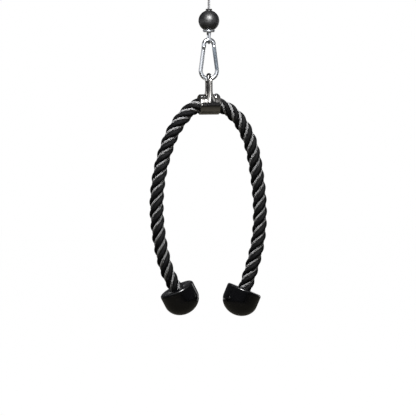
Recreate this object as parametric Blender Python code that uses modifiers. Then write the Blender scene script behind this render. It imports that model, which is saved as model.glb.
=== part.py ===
"""Triceps rope attachment: a two-handed pull rope hanging on a cable end.

Metres, +Z up, +X to the right of someone facing it, +Y away from them.
The origin is the bearing point of the cable's top eye, inside its thimble,
and every piece hangs below it, in the order in which it is listed here.
"""

import math

import bmesh
import bpy
from mathutils import Matrix, Vector

# Clearances and how finely round shapes are divided
GAP = 0.0003
CUT_OVERRUN = 0.002
WELD_DISTANCE = 0.00001
TURN_STEPS = 32
SMALL_TURN_STEPS = 20
BARREL_STEPS = 40
BALL_RINGS = 14
PIN_SIDES = 16
SHARP_ANGLE = math.radians(35)

# Cable and its top eye
CABLE_D = 0.005
CABLE_FREE = 0.027
CABLE_EASE = 0.009
THIMBLE_EYE_R = 0.008
THIMBLE_WALL = 0.0015
THIMBLE_LIP = 0.0016
THIMBLE_WIDTH = 0.008
THIMBLE_TAPER = 0.026
THIMBLE_LIP_SHARE = 0.8
THIMBLE_EYE_SHARE = 0.7
STRAND_SPACING = 0.0064
LOOP_FERRULE_LENGTH = 0.022
LOOP_FERRULE_WALL = 0.0018

# Stop ball and the sleeve through it
BALL_D = 0.040
BALL_FOOT_D = 0.0204
SLEEVE_D = 0.0086
SLEEVE_FLANGE_D = 0.0125
SLEEVE_FLANGE_HEIGHT = 0.0034
SLEEVE_WAIST_DEPTH = 0.0006

# Disc and eye under the ball
DISC_D = 0.0236
DISC_THICKNESS = 0.0045
DISC_EDGE = 0.0008
EYE_WIRE_D = 0.004
EYE_LEG_SPACING = 0.014
EYE_DROP = 0.0211
STOP_FERRULE_D = 0.0085
STOP_FERRULE_LENGTH = 0.0055

# Snap hook
HOOK_WIRE_D = 0.0078
HOOK_BEND_D = 0.0086
HOOK_SHOULDER = 0.0008
HOOK_NARROW_R = 0.0094
HOOK_WIDE_R = 0.0160
HOOK_CENTRES = 0.0501
HINGE_DROP = 0.0052
KNUCKLE_THICKNESS = 0.0030
KNUCKLE_WIDTH = 0.0064
STUD_D = 0.0036
STUD_HEIGHT = 0.0005
NOSE_BLADE_THICKNESS = 0.0026
NOSE_BLADE_WIDTH = 0.0054
NOSE_BLADE_LENGTH = 0.0082
LATCH_HEIGHT = 0.0045

# Gate of the snap hook
GATE_D = 0.0076
GATE_EDGE = 0.0005
RIVET_D = 0.0030
RIVET_HEAD_D = 0.0048
RIVET_HEAD_HEIGHT = 0.0008
LATCH_PIN_D = 0.0024
GATE_BORE_D = 0.0044
GATE_BORE_DEPTH = 0.0170
PLUNGER_HEAD_LENGTH = 0.0036
PLUNGER_STEM_D = 0.0018
PLUNGER_STEM_LENGTH = 0.0040
SPRING_WIRE_D = 0.0006
SPRING_TURNS = 7
SPRING_POINTS_A_TURN = 10

# Cast stirrup: a loop of round bar over a flared barrel
STIRRUP_BAR_D = 0.0078
STIRRUP_LEG_INSET = 0.00035
STIRRUP_HEIGHT = 0.05665
FOOT_FLARE_HEIGHT = 0.028
FOOT_FLARE_REACH = 0.0145
BARREL_D = 0.0395
BARREL_LENGTH = 0.0415
BARREL_WALL = 0.00535
BARREL_CHAMFER = 0.0022
MOUTH_FLARE_START = 0.0087
MOUTH_FLARE_RISE = 0.00255
SCREW_FROM_MOUTH = 0.00795
SCREW_LEAN = math.radians(28)
SCREW_D = 0.0050
SCREW_HEAD_D = 0.0084
SCREW_HEAD_HEIGHT = 0.0022
SCREW_BOSS_D = 0.0100
SCREW_BOSS_HEIGHT = 0.0006
SCREW_RECESS_D = 0.0036
SCREW_RECESS_DEPTH = 0.0013

# Rope: its centre line dips by this rate as it leaves the barrel
ROPE_CLEARANCE = 0.0004
ROPE_DIP = 12.5
ROPE_STRAIGHT = 0.0087
PIVOT_OUTSIDE_MOUTH = 0.0090
MIDDLE_INSIDE_MOUTH = 0.0018
ROPE_POINT_SPACING = 0.018
ROPE_IN_KNOB = 0.024

# End knobs and what holds the rope in them
KNOB_D = 0.0695
KNOB_SIDE = 0.0235
KNOB_DOME = 0.0305
KNOB_EDGE = 0.0032
KNOB_LIP = 0.0065
BAND_LENGTH = 0.012
BAND_WALL = 0.0011
WASHER_D = 0.024
WASHER_THICKNESS = 0.0020
END_SCREW_D = 0.0050
END_SCREW_LENGTH = 0.015
END_SCREW_HEAD_D = 0.0100
END_SCREW_HEAD_HEIGHT = 0.0030

# Routes of the two rope legs, from the barrel's centre: x, and the drop as a share of ROPE_DROP.
# The first point is where the leg starts to bend, the last is just above the knob's face.
ROPE_DROP = 0.36
LEFT_SHARES = [
    (-0.0412, 0.03972), (-0.0543, 0.07806), (-0.0675, 0.13167), (-0.0781, 0.19167),
    (-0.0865, 0.25583), (-0.0929, 0.31889), (-0.0979, 0.38333), (-0.1011, 0.44917),
    (-0.1027, 0.51389), (-0.1027, 0.57222), (-0.1013, 0.63056), (-0.0987, 0.69167),
    (-0.0950, 0.75389), (-0.0903, 0.81389), (-0.0842, 0.87389), (-0.0757, 0.93056),
]
LEFT_KNOB_X = -0.0649
LEFT_KNOB_SHARE = 0.98389
LEFT_KNOB_TILT = math.radians(27)
RIGHT_SHARES = [
    (0.0405, 0.03444), (0.0520, 0.06056), (0.0645, 0.10389), (0.0755, 0.16111),
    (0.0837, 0.22083), (0.0893, 0.28528), (0.0935, 0.34944), (0.0968, 0.41111),
    (0.0994, 0.47167), (0.1012, 0.55000), (0.1014, 0.61667), (0.1002, 0.67972),
    (0.0974, 0.74167), (0.0931, 0.80139), (0.0876, 0.86111), (0.0811, 0.91944),
]
RIGHT_KNOB_X = 0.0716
RIGHT_KNOB_SHARE = 0.99694
RIGHT_KNOB_TILT = math.radians(23)

# Sizes that follow from the ones above
CABLE_R = CABLE_D / 2
CABLE_BORE_R = CABLE_R + GAP
STRAND_X = STRAND_SPACING / 2
LOOP_R = THIMBLE_EYE_R + THIMBLE_WALL + CABLE_BORE_R
LOOP_CENTRE_Z = -THIMBLE_EYE_R
LOOP_FERRULE_TOP = LOOP_CENTRE_Z - THIMBLE_TAPER - GAP
LOOP_FERRULE_FOOT = LOOP_FERRULE_TOP - LOOP_FERRULE_LENGTH
SLEEVE_TOP = LOOP_FERRULE_FOOT - CABLE_FREE
BALL_R = BALL_D / 2
BALL_CROWN_R = SLEEVE_FLANGE_D / 2
BALL_CROWN = math.sqrt(BALL_R ** 2 - BALL_CROWN_R ** 2)
BALL_FOOT = math.sqrt(BALL_R ** 2 - (BALL_FOOT_D / 2) ** 2)
BALL_Z = SLEEVE_TOP - SLEEVE_FLANGE_HEIGHT - GAP - BALL_CROWN
DISC_TOP = BALL_Z - BALL_FOOT - GAP
DISC_FOOT = DISC_TOP - DISC_THICKNESS
STOP_FERRULE_TOP = DISC_FOOT - GAP
STOP_FERRULE_FOOT = STOP_FERRULE_TOP - STOP_FERRULE_LENGTH
EYE_BAR_Z = DISC_FOOT - EYE_DROP

# Hook sizes, from the eye's bar, which it hangs on and swings about
HOOK_LEAN = math.asin((HOOK_WIDE_R - HOOK_NARROW_R) / HOOK_CENTRES)
NARROW_Z = EYE_WIRE_D / 2 + GAP + HOOK_BEND_D / 2 - HOOK_NARROW_R
WIDE_Z = NARROW_Z - HOOK_CENTRES
HOOK_BAR_Z = WIDE_Z - HOOK_WIDE_R
GATE_LINE = math.sqrt(HOOK_CENTRES ** 2 - (HOOK_WIDE_R - HOOK_NARROW_R) ** 2)
HINGE_X = HOOK_NARROW_R * math.cos(HOOK_LEAN) + HINGE_DROP * math.sin(HOOK_LEAN)
HINGE_Z = NARROW_Z + HOOK_NARROW_R * math.sin(HOOK_LEAN) - HINGE_DROP * math.cos(HOOK_LEAN)
GATE_REACH = GATE_LINE - HINGE_DROP
SHOULDER_DROP = HINGE_DROP - GATE_D / 2 - 2 * GAP

# Stirrup sizes, from the hook's bottom bar, which it hangs on and swings about
STIRRUP_BAR_Z = HOOK_WIRE_D / 2 + GAP + STIRRUP_BAR_D / 2
BARREL_Z = STIRRUP_BAR_Z - STIRRUP_HEIGHT
BARREL_R = BARREL_D / 2
BARREL_HALF = BARREL_LENGTH / 2
BORE_R = BARREL_R - BARREL_WALL
SCREW_PLACE = BARREL_HALF - SCREW_FROM_MOUTH
PIVOT_X = BARREL_HALF + PIVOT_OUTSIDE_MOUTH
PIVOT_DROP = ROPE_DIP * (PIVOT_X - ROPE_STRAIGHT) ** 2
ROPE_R = BORE_R - ROPE_CLEARANCE
KNOB_R = KNOB_D / 2
BAND_R = ROPE_R + GAP + BAND_WALL
LEFT_ROUTE = [(x, -share * ROPE_DROP) for x, share in LEFT_SHARES]
RIGHT_ROUTE = [(x, -share * ROPE_DROP) for x, share in RIGHT_SHARES]
LEFT_KNOB = (LEFT_KNOB_X, -LEFT_KNOB_SHARE * ROPE_DROP)
RIGHT_KNOB = (RIGHT_KNOB_X, -RIGHT_KNOB_SHARE * ROPE_DROP)


def start_scene():
    """Empty the scene and make the two collections."""
    for old in list(bpy.data.objects):
        bpy.data.objects.remove(old, do_unlink=True)
    made = bpy.data.collections.new("triceps_rope_attachment")
    cutting = bpy.data.collections.new("cutters")
    bpy.context.scene.collection.children.link(made)
    bpy.context.scene.collection.children.link(cutting)
    return made, cutting


PARTS, CUTTERS = start_scene()


def material(name, colour, roughness, metallic):
    """A plain surface with one colour."""
    made = bpy.data.materials.new(name)
    made.use_nodes = True
    shader = made.node_tree.nodes["Principled BSDF"]
    shader.inputs["Base Color"].default_value = (*colour, 1)
    shader.inputs["Roughness"].default_value = roughness
    shader.inputs["Metallic"].default_value = metallic
    return made


GALVANISED = material("galvanised_steel", (0.55, 0.56, 0.57), 0.35, 1)
BRIGHT_STEEL = material("bright_zinc_steel", (0.70, 0.72, 0.75), 0.18, 1)
CAST_CHROME = material("cast_chrome", (0.62, 0.62, 0.63), 0.12, 1)
BLACK_BALL = material("satin_black_rubber", (0.02, 0.02, 0.022), 0.45, 0)
BLACK_SLEEVE = material("black_moulding", (0.03, 0.03, 0.03), 0.5, 0)
BLACK_KNOB = material("glossy_black_rubber", (0.012, 0.012, 0.014), 0.25, 0)
BLACK_ROPE = material("black_rope", (0.03, 0.03, 0.033), 0.8, 0)
INNER_STEEL = material("plain_steel", (0.45, 0.45, 0.46), 0.4, 1)


def frame_at(name, parent=None, location=(0, 0, 0), turn=0):
    """An empty that pieces are placed from, turned about Y."""
    made = bpy.data.objects.new(name, None)
    bpy.context.scene.collection.objects.link(made)
    made.parent = parent
    made.location = location
    made.rotation_euler = (0, turn, 0)
    return made


def place(obj, frame, surface=None, location=(0, 0, 0), rotation=(0, 0, 0)):
    """Put a finished shape in the object; without a surface it is a cutter."""
    home = PARTS if surface else CUTTERS
    for collection in list(obj.users_collection):
        collection.objects.unlink(obj)
    home.objects.link(obj)
    obj.parent = frame
    obj.location = location
    obj.rotation_euler = rotation
    if surface:
        obj.data.materials.clear()
        obj.data.materials.append(surface)
    else:
        obj.hide_render = True
        obj.display_type = "WIRE"
    return obj


def combine(obj, other, operation):
    """Cut another shape out of this one, or join it on."""
    step = obj.modifiers.new(operation.lower() + "_" + other.name, "BOOLEAN")
    step.operation = operation
    step.object = other
    step.solver = "EXACT"
    return obj


def cut(obj, *others):
    for other in others:
        combine(obj, other, "DIFFERENCE")
    return obj


def join(obj, *others):
    for other in others:
        combine(obj, other, "UNION")
    return obj


def shade(mesh):
    mesh.shade_smooth()
    mesh.set_sharp_from_angle(angle=SHARP_ANGLE)


def turned(name, profile, closed=False, steps=TURN_STEPS, axis="Z"):
    """A solid turned about local Z or X from (radius, place along it) points, outer side going down."""
    mesh = bpy.data.meshes.new(name)
    count = len(profile)
    edges = [(i, i + 1) for i in range(count - 1)]
    if closed:
        edges.append((count - 1, 0))
    points = [(r, 0, z) if axis == "Z" else (z, 0, -r) for r, z in profile]
    mesh.from_pydata(points, edges, [])
    obj = bpy.data.objects.new(name, mesh)
    CUTTERS.objects.link(obj)
    screw = obj.modifiers.new("turn", "SCREW")
    screw.axis = axis
    screw.steps = steps
    screw.render_steps = steps
    screw.use_merge_vertices = True
    screw.merge_threshold = WELD_DISTANCE
    screw.use_smooth_shade = True
    return obj


def arc(centre, radii, start, end, count):
    """Points on a round or elliptical arc, both ends included; angles in degrees."""
    points = []
    for i in range(count + 1):
        angle = math.radians(start + (end - start) * i / count)
        points.append((centre[0] + radii[0] * math.cos(angle),
                       centre[1] + radii[1] * math.sin(angle)))
    return points


def ring(name, outer_r, inner_r, top, foot, steps=TURN_STEPS, edge=0):
    """A turned ring with an optional bevelled outer edge."""
    profile = [(inner_r, top), (outer_r - edge, top)]
    if edge:
        profile += [(outer_r, top - edge), (outer_r, foot + edge)]
    else:
        profile += [(outer_r, foot)]
    profile += [(outer_r - edge, foot)] if edge else []
    profile += [(inner_r, foot)]
    return turned(name, profile, closed=True, steps=steps)


def rod(name, radius, top, foot, steps=PIN_SIDES):
    """A plain turned rod."""
    return turned(name, [(0, top), (radius, top), (radius, foot), (0, foot)], steps=steps)


def curve_to_mesh(curve_obj):
    """Make a curve object a closed mesh object."""
    bpy.context.view_layer.update()
    depsgraph = bpy.context.evaluated_depsgraph_get()
    mesh = bpy.data.meshes.new_from_object(curve_obj.evaluated_get(depsgraph))
    work = bmesh.new()
    work.from_mesh(mesh)
    bmesh.ops.remove_doubles(work, verts=work.verts, dist=WELD_DISTANCE)
    bmesh.ops.recalc_face_normals(work, faces=work.faces)
    work.to_mesh(mesh)
    work.free()
    shade(mesh)
    obj = bpy.data.objects.new(curve_obj.name + "_mesh", mesh)
    CUTTERS.objects.link(obj)
    obj.matrix_world = curve_obj.matrix_world
    name = curve_obj.name
    bpy.data.objects.remove(curve_obj, do_unlink=True)
    obj.name = name
    return obj


def tube(name, points, radius, resolution=4, swell=None):
    """A round bar along points, with filled ends; swell holds each point's size factor."""
    data = bpy.data.curves.new(name, "CURVE")
    data.dimensions = "3D"
    data.bevel_depth = radius
    data.bevel_resolution = resolution
    data.use_fill_caps = True
    line = data.splines.new("POLY")
    line.points.add(len(points) - 1)
    for i, point in enumerate(points):
        line.points[i].co = (*point, 1)
        if swell:
            line.points[i].radius = swell[i]
    obj = bpy.data.objects.new(name, data)
    CUTTERS.objects.link(obj)
    return curve_to_mesh(obj)


def plate(name, outlines, thickness):
    """A flat shape in XZ, centred on Y: the first outline less the others."""
    data = bpy.data.curves.new(name, "CURVE")
    data.dimensions = "2D"
    data.fill_mode = "BOTH"
    data.extrude = thickness / 2
    for outline in outlines:
        line = data.splines.new("POLY")
        line.points.add(len(outline) - 1)
        for i, (x, z) in enumerate(outline):
            line.points[i].co = (x, z, 0, 1)
        line.use_cyclic_u = True
    obj = bpy.data.objects.new(name, data)
    CUTTERS.objects.link(obj)
    made = curve_to_mesh(obj)
    made.data.transform(Matrix.Rotation(math.radians(90), 4, "X"))
    return made


def block(name, size, centre):
    """A rectangular block."""
    bpy.ops.mesh.primitive_cube_add(size=1)
    obj = bpy.context.active_object
    obj.name = name
    obj.data.transform(Matrix.Translation(centre) @ Matrix.Diagonal((*size, 1)))
    return obj


def smooth_path(points, spacing):
    """Evenly spaced points on one smooth curve through the given ones."""
    knots = [Vector(p) for p in points]
    before = knots[0] * 2 - knots[1]
    after = knots[-1] * 2 - knots[-2]
    padded = [before] + knots + [after]
    dense = []
    steps = 24
    for i in range(len(knots) - 1):
        p0, p1, p2, p3 = padded[i:i + 4]
        for k in range(steps):
            t = k / steps
            dense.append(0.5 * ((2 * p1) + (p2 - p0) * t
                                + (2 * p0 - 5 * p1 + 4 * p2 - p3) * t ** 2
                                + (3 * p1 - p0 - 3 * p2 + p3) * t ** 3))
    dense.append(knots[-1])
    lengths = [0]
    for a, b in zip(dense, dense[1:]):
        lengths.append(lengths[-1] + (b - a).length)
    count = max(2, round(lengths[-1] / spacing))
    path = []
    j = 0
    for i in range(count + 1):
        want = lengths[-1] * i / count
        while j < len(lengths) - 2 and lengths[j + 1] < want:
            j += 1
        share = (want - lengths[j]) / (lengths[j + 1] - lengths[j])
        path.append(dense[j].lerp(dense[j + 1], min(1, share)))
    return path


def taper(share):
    """How far from the middle the top loop's cable runs, from its widest (0) to its ferrule (1)."""
    return STRAND_X + (LOOP_R - STRAND_X) * (1 + math.cos(math.pi * share)) / 2


def loop_outline(offset, last_share, count):
    """The top loop's drop shape, moved in or out, from its right foot round to its left foot."""
    shares = [last_share * (count - i) / count for i in range(count)]
    right = [(taper(s) + offset, LOOP_CENTRE_Z - THIMBLE_TAPER * s) for s in shares]
    top = arc((0, LOOP_CENTRE_Z), (LOOP_R + offset, LOOP_R + offset), 0, 180, 2 * count)
    left = [(-x, z) for x, z in reversed(right)]
    return right + top + left


def make_cable_end(root):
    """The cable with its top eye and the sleeve pressed on its lower end."""
    top_loop = loop_outline(0, 1, 8)
    ease = [(STRAND_X * (1 - math.cos(math.pi * i / 6)) / 2,
             LOOP_FERRULE_FOOT - CABLE_EASE * (1 - i / 6)) for i in range(7)]
    run = [(0, STOP_FERRULE_FOOT)] + ease + top_loop + [(-STRAND_X, LOOP_FERRULE_FOOT)]
    route = [(x, 0, z) for x, z in run]
    place(tube("cable", route, CABLE_R, 2), root, GALVANISED)

    eye_offset = -(CABLE_BORE_R + THIMBLE_WALL)
    lip_offset = THIMBLE_LIP - CABLE_BORE_R
    outer = loop_outline(lip_offset, THIMBLE_LIP_SHARE, 8)
    inner = loop_outline(eye_offset, THIMBLE_EYE_SHARE, 8)
    thimble = plate("thimble", [outer, inner], THIMBLE_WIDTH)
    groove_route = [(x, 0, z) for x, z in top_loop]
    groove = tube("thimble_groove_cutter", groove_route, CABLE_BORE_R, 2)
    place(groove, root)
    place(cut(thimble, groove), root, GALVANISED)

    side_r = CABLE_BORE_R + LOOP_FERRULE_WALL
    outline = arc((STRAND_X, 0), (side_r, side_r), -90, 90, 10)
    outline += arc((-STRAND_X, 0), (side_r, side_r), 90, 270, 10)
    bores = [arc((x, 0), (CABLE_BORE_R, CABLE_BORE_R), 0, 330, 11) for x in (STRAND_X, -STRAND_X)]
    ferrule = plate("loop_ferrule", [outline] + bores, LOOP_FERRULE_LENGTH)
    ferrule.data.transform(Matrix.Rotation(math.radians(90), 4, "X"))
    middle = (LOOP_FERRULE_TOP + LOOP_FERRULE_FOOT) / 2
    place(ferrule, root, GALVANISED, location=(0, 0, middle))

    sleeve = ring("stop_ferrule", STOP_FERRULE_D / 2, CABLE_BORE_R,
                  STOP_FERRULE_TOP, STOP_FERRULE_FOOT, SMALL_TURN_STEPS)
    place(sleeve, root, GALVANISED)


def make_stop_ball(ball_frame):
    """The ball and its sleeve, which turn freely on the cable; heights are from the ball's centre."""
    sleeve_r = SLEEVE_D / 2
    foot_angle = -math.degrees(math.acos(BALL_FOOT_D / BALL_D))
    crown_angle = math.degrees(math.asin(BALL_CROWN / BALL_R))
    surface = arc((0, 0), (BALL_R, BALL_R), crown_angle, foot_angle, BALL_RINGS)
    bore = [(sleeve_r + GAP, -BALL_FOOT), (sleeve_r + GAP, BALL_CROWN)]
    ball = turned("stop_ball", surface + bore, closed=True)
    place(ball, ball_frame, BLACK_BALL)

    flange_r = SLEEVE_FLANGE_D / 2
    seat = BALL_CROWN + GAP
    top = seat + SLEEVE_FLANGE_HEIGHT
    waist = seat + SLEEVE_FLANGE_HEIGHT / 2
    profile = [(CABLE_BORE_R, top), (flange_r - SLEEVE_WAIST_DEPTH, top),
               (flange_r, top - SLEEVE_WAIST_DEPTH), (flange_r - SLEEVE_WAIST_DEPTH, waist),
               (flange_r, seat + SLEEVE_WAIST_DEPTH), (flange_r, seat), (sleeve_r, seat),
               (sleeve_r, -BALL_FOOT), (CABLE_BORE_R, -BALL_FOOT)]
    sleeve = turned("ball_sleeve", profile, closed=True, steps=SMALL_TURN_STEPS)
    place(sleeve, ball_frame, BLACK_SLEEVE)


def make_cable_eye(eye_frame):
    """The disc with the wire eye welded below it; heights are from the eye's bottom bar."""
    foot = EYE_DROP
    disc = ring("cable_eye", DISC_D / 2, CABLE_BORE_R, foot + DISC_THICKNESS, foot, edge=DISC_EDGE)
    leg = EYE_LEG_SPACING / 2
    bend = [(0, y, leg + z) for y, z in arc((0, 0), (leg, leg), 180, 360, 12)]
    inside_disc = foot + DISC_THICKNESS / 2
    route = [(0, -leg, inside_disc)] + bend + [(0, leg, inside_disc)]
    eye = tube("eye_wire_shape", route, EYE_WIRE_D / 2, 3)
    place(eye, eye_frame)
    place(join(disc, eye), eye_frame, BRIGHT_STEEL)


def hook_point(side, along, inward=0):
    """A point on the hook's straight side: side is 1 or -1, along runs down from the narrow bend."""
    x = HOOK_NARROW_R * math.cos(HOOK_LEAN) + along * math.sin(HOOK_LEAN)
    z = NARROW_Z + HOOK_NARROW_R * math.sin(HOOK_LEAN) - along * math.cos(HOOK_LEAN)
    x -= inward * math.cos(HOOK_LEAN)
    z -= inward * math.sin(HOOK_LEAN)
    return (side * x, z)


def make_hook(hook_frame, hinge_frame, nose_frame):
    """The bent wire body, with a knuckle for the gate and a hooked nose blade."""
    lean = math.degrees(HOOK_LEAN)
    narrow = (HOOK_NARROW_R, HOOK_NARROW_R)
    wide = (HOOK_WIDE_R, HOOK_WIDE_R)
    bend = arc((0, NARROW_Z), narrow, lean, 180 - lean, 12)
    bowl = arc((0, WIDE_Z), wide, 180 - lean, 360 + lean, 20)
    spine = [hook_point(-1, along) for along in
             (HINGE_DROP, HINGE_DROP + HOOK_SHOULDER, GATE_LINE / 2)]
    thick = [hook_point(1, SHOULDER_DROP)] + bend + spine[:1]
    thin = spine[1:] + bowl
    swell = [HOOK_BEND_D / HOOK_WIRE_D] * len(thick) + [1] * len(thin)
    route = [(x, 0, z) for x, z in thick + thin]
    body = place(tube("hook_body", route, HOOK_WIRE_D / 2, 4, swell), hook_frame, BRIGHT_STEEL)

    half = KNUCKLE_WIDTH / 2
    root = HINGE_DROP + HOOK_BEND_D / 4
    outline = arc((0, 0), (half, half), 180, 360, 10) + [(half, root), (-half, root)]
    knuckle = place(plate("knuckle_shape", [outline], KNUCKLE_THICKNESS), hinge_frame)

    wide_half = NOSE_BLADE_WIDTH / 2
    notch_low = LATCH_HEIGHT - LATCH_PIN_D / 2 - GAP
    notch_high = LATCH_HEIGHT + LATCH_PIN_D / 2 + GAP
    notch_back = LATCH_PIN_D / 2 + GAP
    rooted = -HOOK_WIRE_D / 2
    outline = [(wide_half, rooted), (wide_half, NOSE_BLADE_LENGTH), (-wide_half, NOSE_BLADE_LENGTH),
               (-wide_half, notch_high), (notch_back, notch_high), (notch_back, notch_low),
               (-wide_half, notch_low), (-wide_half, rooted)]
    nose = place(plate("nose_shape", [outline], NOSE_BLADE_THICKNESS), nose_frame)

    stud_length = HOOK_BEND_D + 2 * STUD_HEIGHT
    stud = rod("stud_shape", STUD_D / 2, stud_length / 2, -stud_length / 2)
    x, z = hook_point(-1, HINGE_DROP)
    place(stud, hook_frame, location=(x, 0, z), rotation=(math.radians(90), 0, 0))

    hole = rod("knuckle_hole_cutter", RIVET_D / 2 + GAP, GATE_D, -GATE_D)
    place(hole, hinge_frame, rotation=(math.radians(90), 0, 0))
    cut(join(body, knuckle, nose, stud), hole)


def make_gate(gate_frame):
    """The gate with its pin, plunger and spring; heights are along the gate, from its rivet."""
    radius = GATE_D / 2
    foot = GAP - GATE_REACH
    profile = arc((0, 0), (radius, radius), 90, 0, 8)
    profile += [(radius, foot + GATE_EDGE), (radius - GATE_EDGE, foot), (0, foot)]
    gate = turned("gate", profile)

    over = CUT_OVERRUN
    slot = KNUCKLE_THICKNESS + 2 * GAP
    slot_foot = -KNUCKLE_WIDTH / 2 - 2 * GAP
    hinge_slot = block("hinge_slot_cutter", (GATE_D + 2 * over, slot, radius + over - slot_foot),
                       (0, 0, (radius + over + slot_foot) / 2))
    place(hinge_slot, gate_frame)
    blade_slot = NOSE_BLADE_THICKNESS + 2 * GAP
    blade_top = GAP - GATE_REACH + NOSE_BLADE_LENGTH + 2 * GAP
    nose_slot = block("nose_slot_cutter", (GATE_D + 2 * over, blade_slot, blade_top - foot + over),
                      (0, 0, (blade_top + foot - over) / 2))
    place(nose_slot, gate_frame)
    rivet_hole = rod("gate_rivet_hole_cutter", RIVET_D / 2 + GAP, GATE_D, -GATE_D)
    place(rivet_hole, gate_frame, rotation=(math.radians(90), 0, 0))
    latch_z = LATCH_HEIGHT - GATE_REACH
    pin_hole = rod("latch_pin_hole_cutter", LATCH_PIN_D / 2 + GAP, GATE_D, -GATE_D)
    place(pin_hole, gate_frame, location=(0, 0, latch_z), rotation=(math.radians(90), 0, 0))
    bore_foot = slot_foot - GATE_BORE_DEPTH
    bore_top = slot_foot + KNUCKLE_WIDTH / 4
    bore = rod("spring_bore_cutter", GATE_BORE_D / 2, bore_top, bore_foot)
    place(bore, gate_frame)
    place(cut(gate, hinge_slot, nose_slot, rivet_hole, pin_hole, bore), gate_frame, BRIGHT_STEEL)

    pin_half = math.sqrt(radius ** 2 - (LATCH_PIN_D / 2) ** 2)
    pin = rod("latch_pin", LATCH_PIN_D / 2, pin_half, -pin_half)
    place(pin, gate_frame, INNER_STEEL, location=(0, 0, latch_z), rotation=(math.radians(90), 0, 0))

    head_r = GATE_BORE_D / 2 - GAP
    stem_r = PLUNGER_STEM_D / 2
    tip = -KNUCKLE_WIDTH / 2 - GAP
    head_foot = tip - PLUNGER_HEAD_LENGTH
    stem_foot = head_foot - PLUNGER_STEM_LENGTH
    profile = arc((0, tip - head_r / 2), (head_r, head_r / 2), 90, 0, 4)
    profile += [(head_r, head_foot), (stem_r, head_foot), (stem_r, stem_foot), (0, stem_foot)]
    place(turned("gate_plunger", profile, steps=PIN_SIDES), gate_frame, INNER_STEEL)

    wire_r = SPRING_WIRE_D / 2
    coil_r = head_r - wire_r
    top = head_foot - GAP - wire_r
    length = top - (bore_foot + GAP + wire_r)
    count = SPRING_TURNS * SPRING_POINTS_A_TURN
    route = []
    for i in range(count + 1):
        angle = 2 * math.pi * i / SPRING_POINTS_A_TURN
        route.append((coil_r * math.cos(angle), coil_r * math.sin(angle), top - length * i / count))
    place(tube("gate_spring", route, wire_r, 1), gate_frame, INNER_STEEL)


def make_rivet(hinge_frame):
    """The rivet through the gate's fork and the hook's knuckle."""
    head_foot = GATE_D / 2 + GAP
    head_top = head_foot + RIVET_HEAD_HEIGHT
    head_r = RIVET_HEAD_D / 2
    upper = arc((0, head_foot), (head_r, RIVET_HEAD_HEIGHT), 90, 0, 4)
    lower = [(r, -z) for r, z in reversed(upper)]
    profile = upper + [(RIVET_D / 2, head_foot), (RIVET_D / 2, -head_foot)] + lower
    rivet = turned("gate_rivet", profile, steps=SMALL_TURN_STEPS)
    place(rivet, hinge_frame, BRIGHT_STEEL, rotation=(math.radians(90), 0, 0))


def mouth_profile():
    """Radius and place of points down the barrel's bore, which flares at both mouths."""
    points = [(BORE_R, 0), (BORE_R, MOUTH_FLARE_START)]
    for i in range(1, 6):
        share = i / 5
        run = MOUTH_FLARE_START + (BARREL_HALF - MOUTH_FLARE_START) * share
        points.append((BORE_R + MOUTH_FLARE_RISE * share ** 2, run))
    return points


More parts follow.
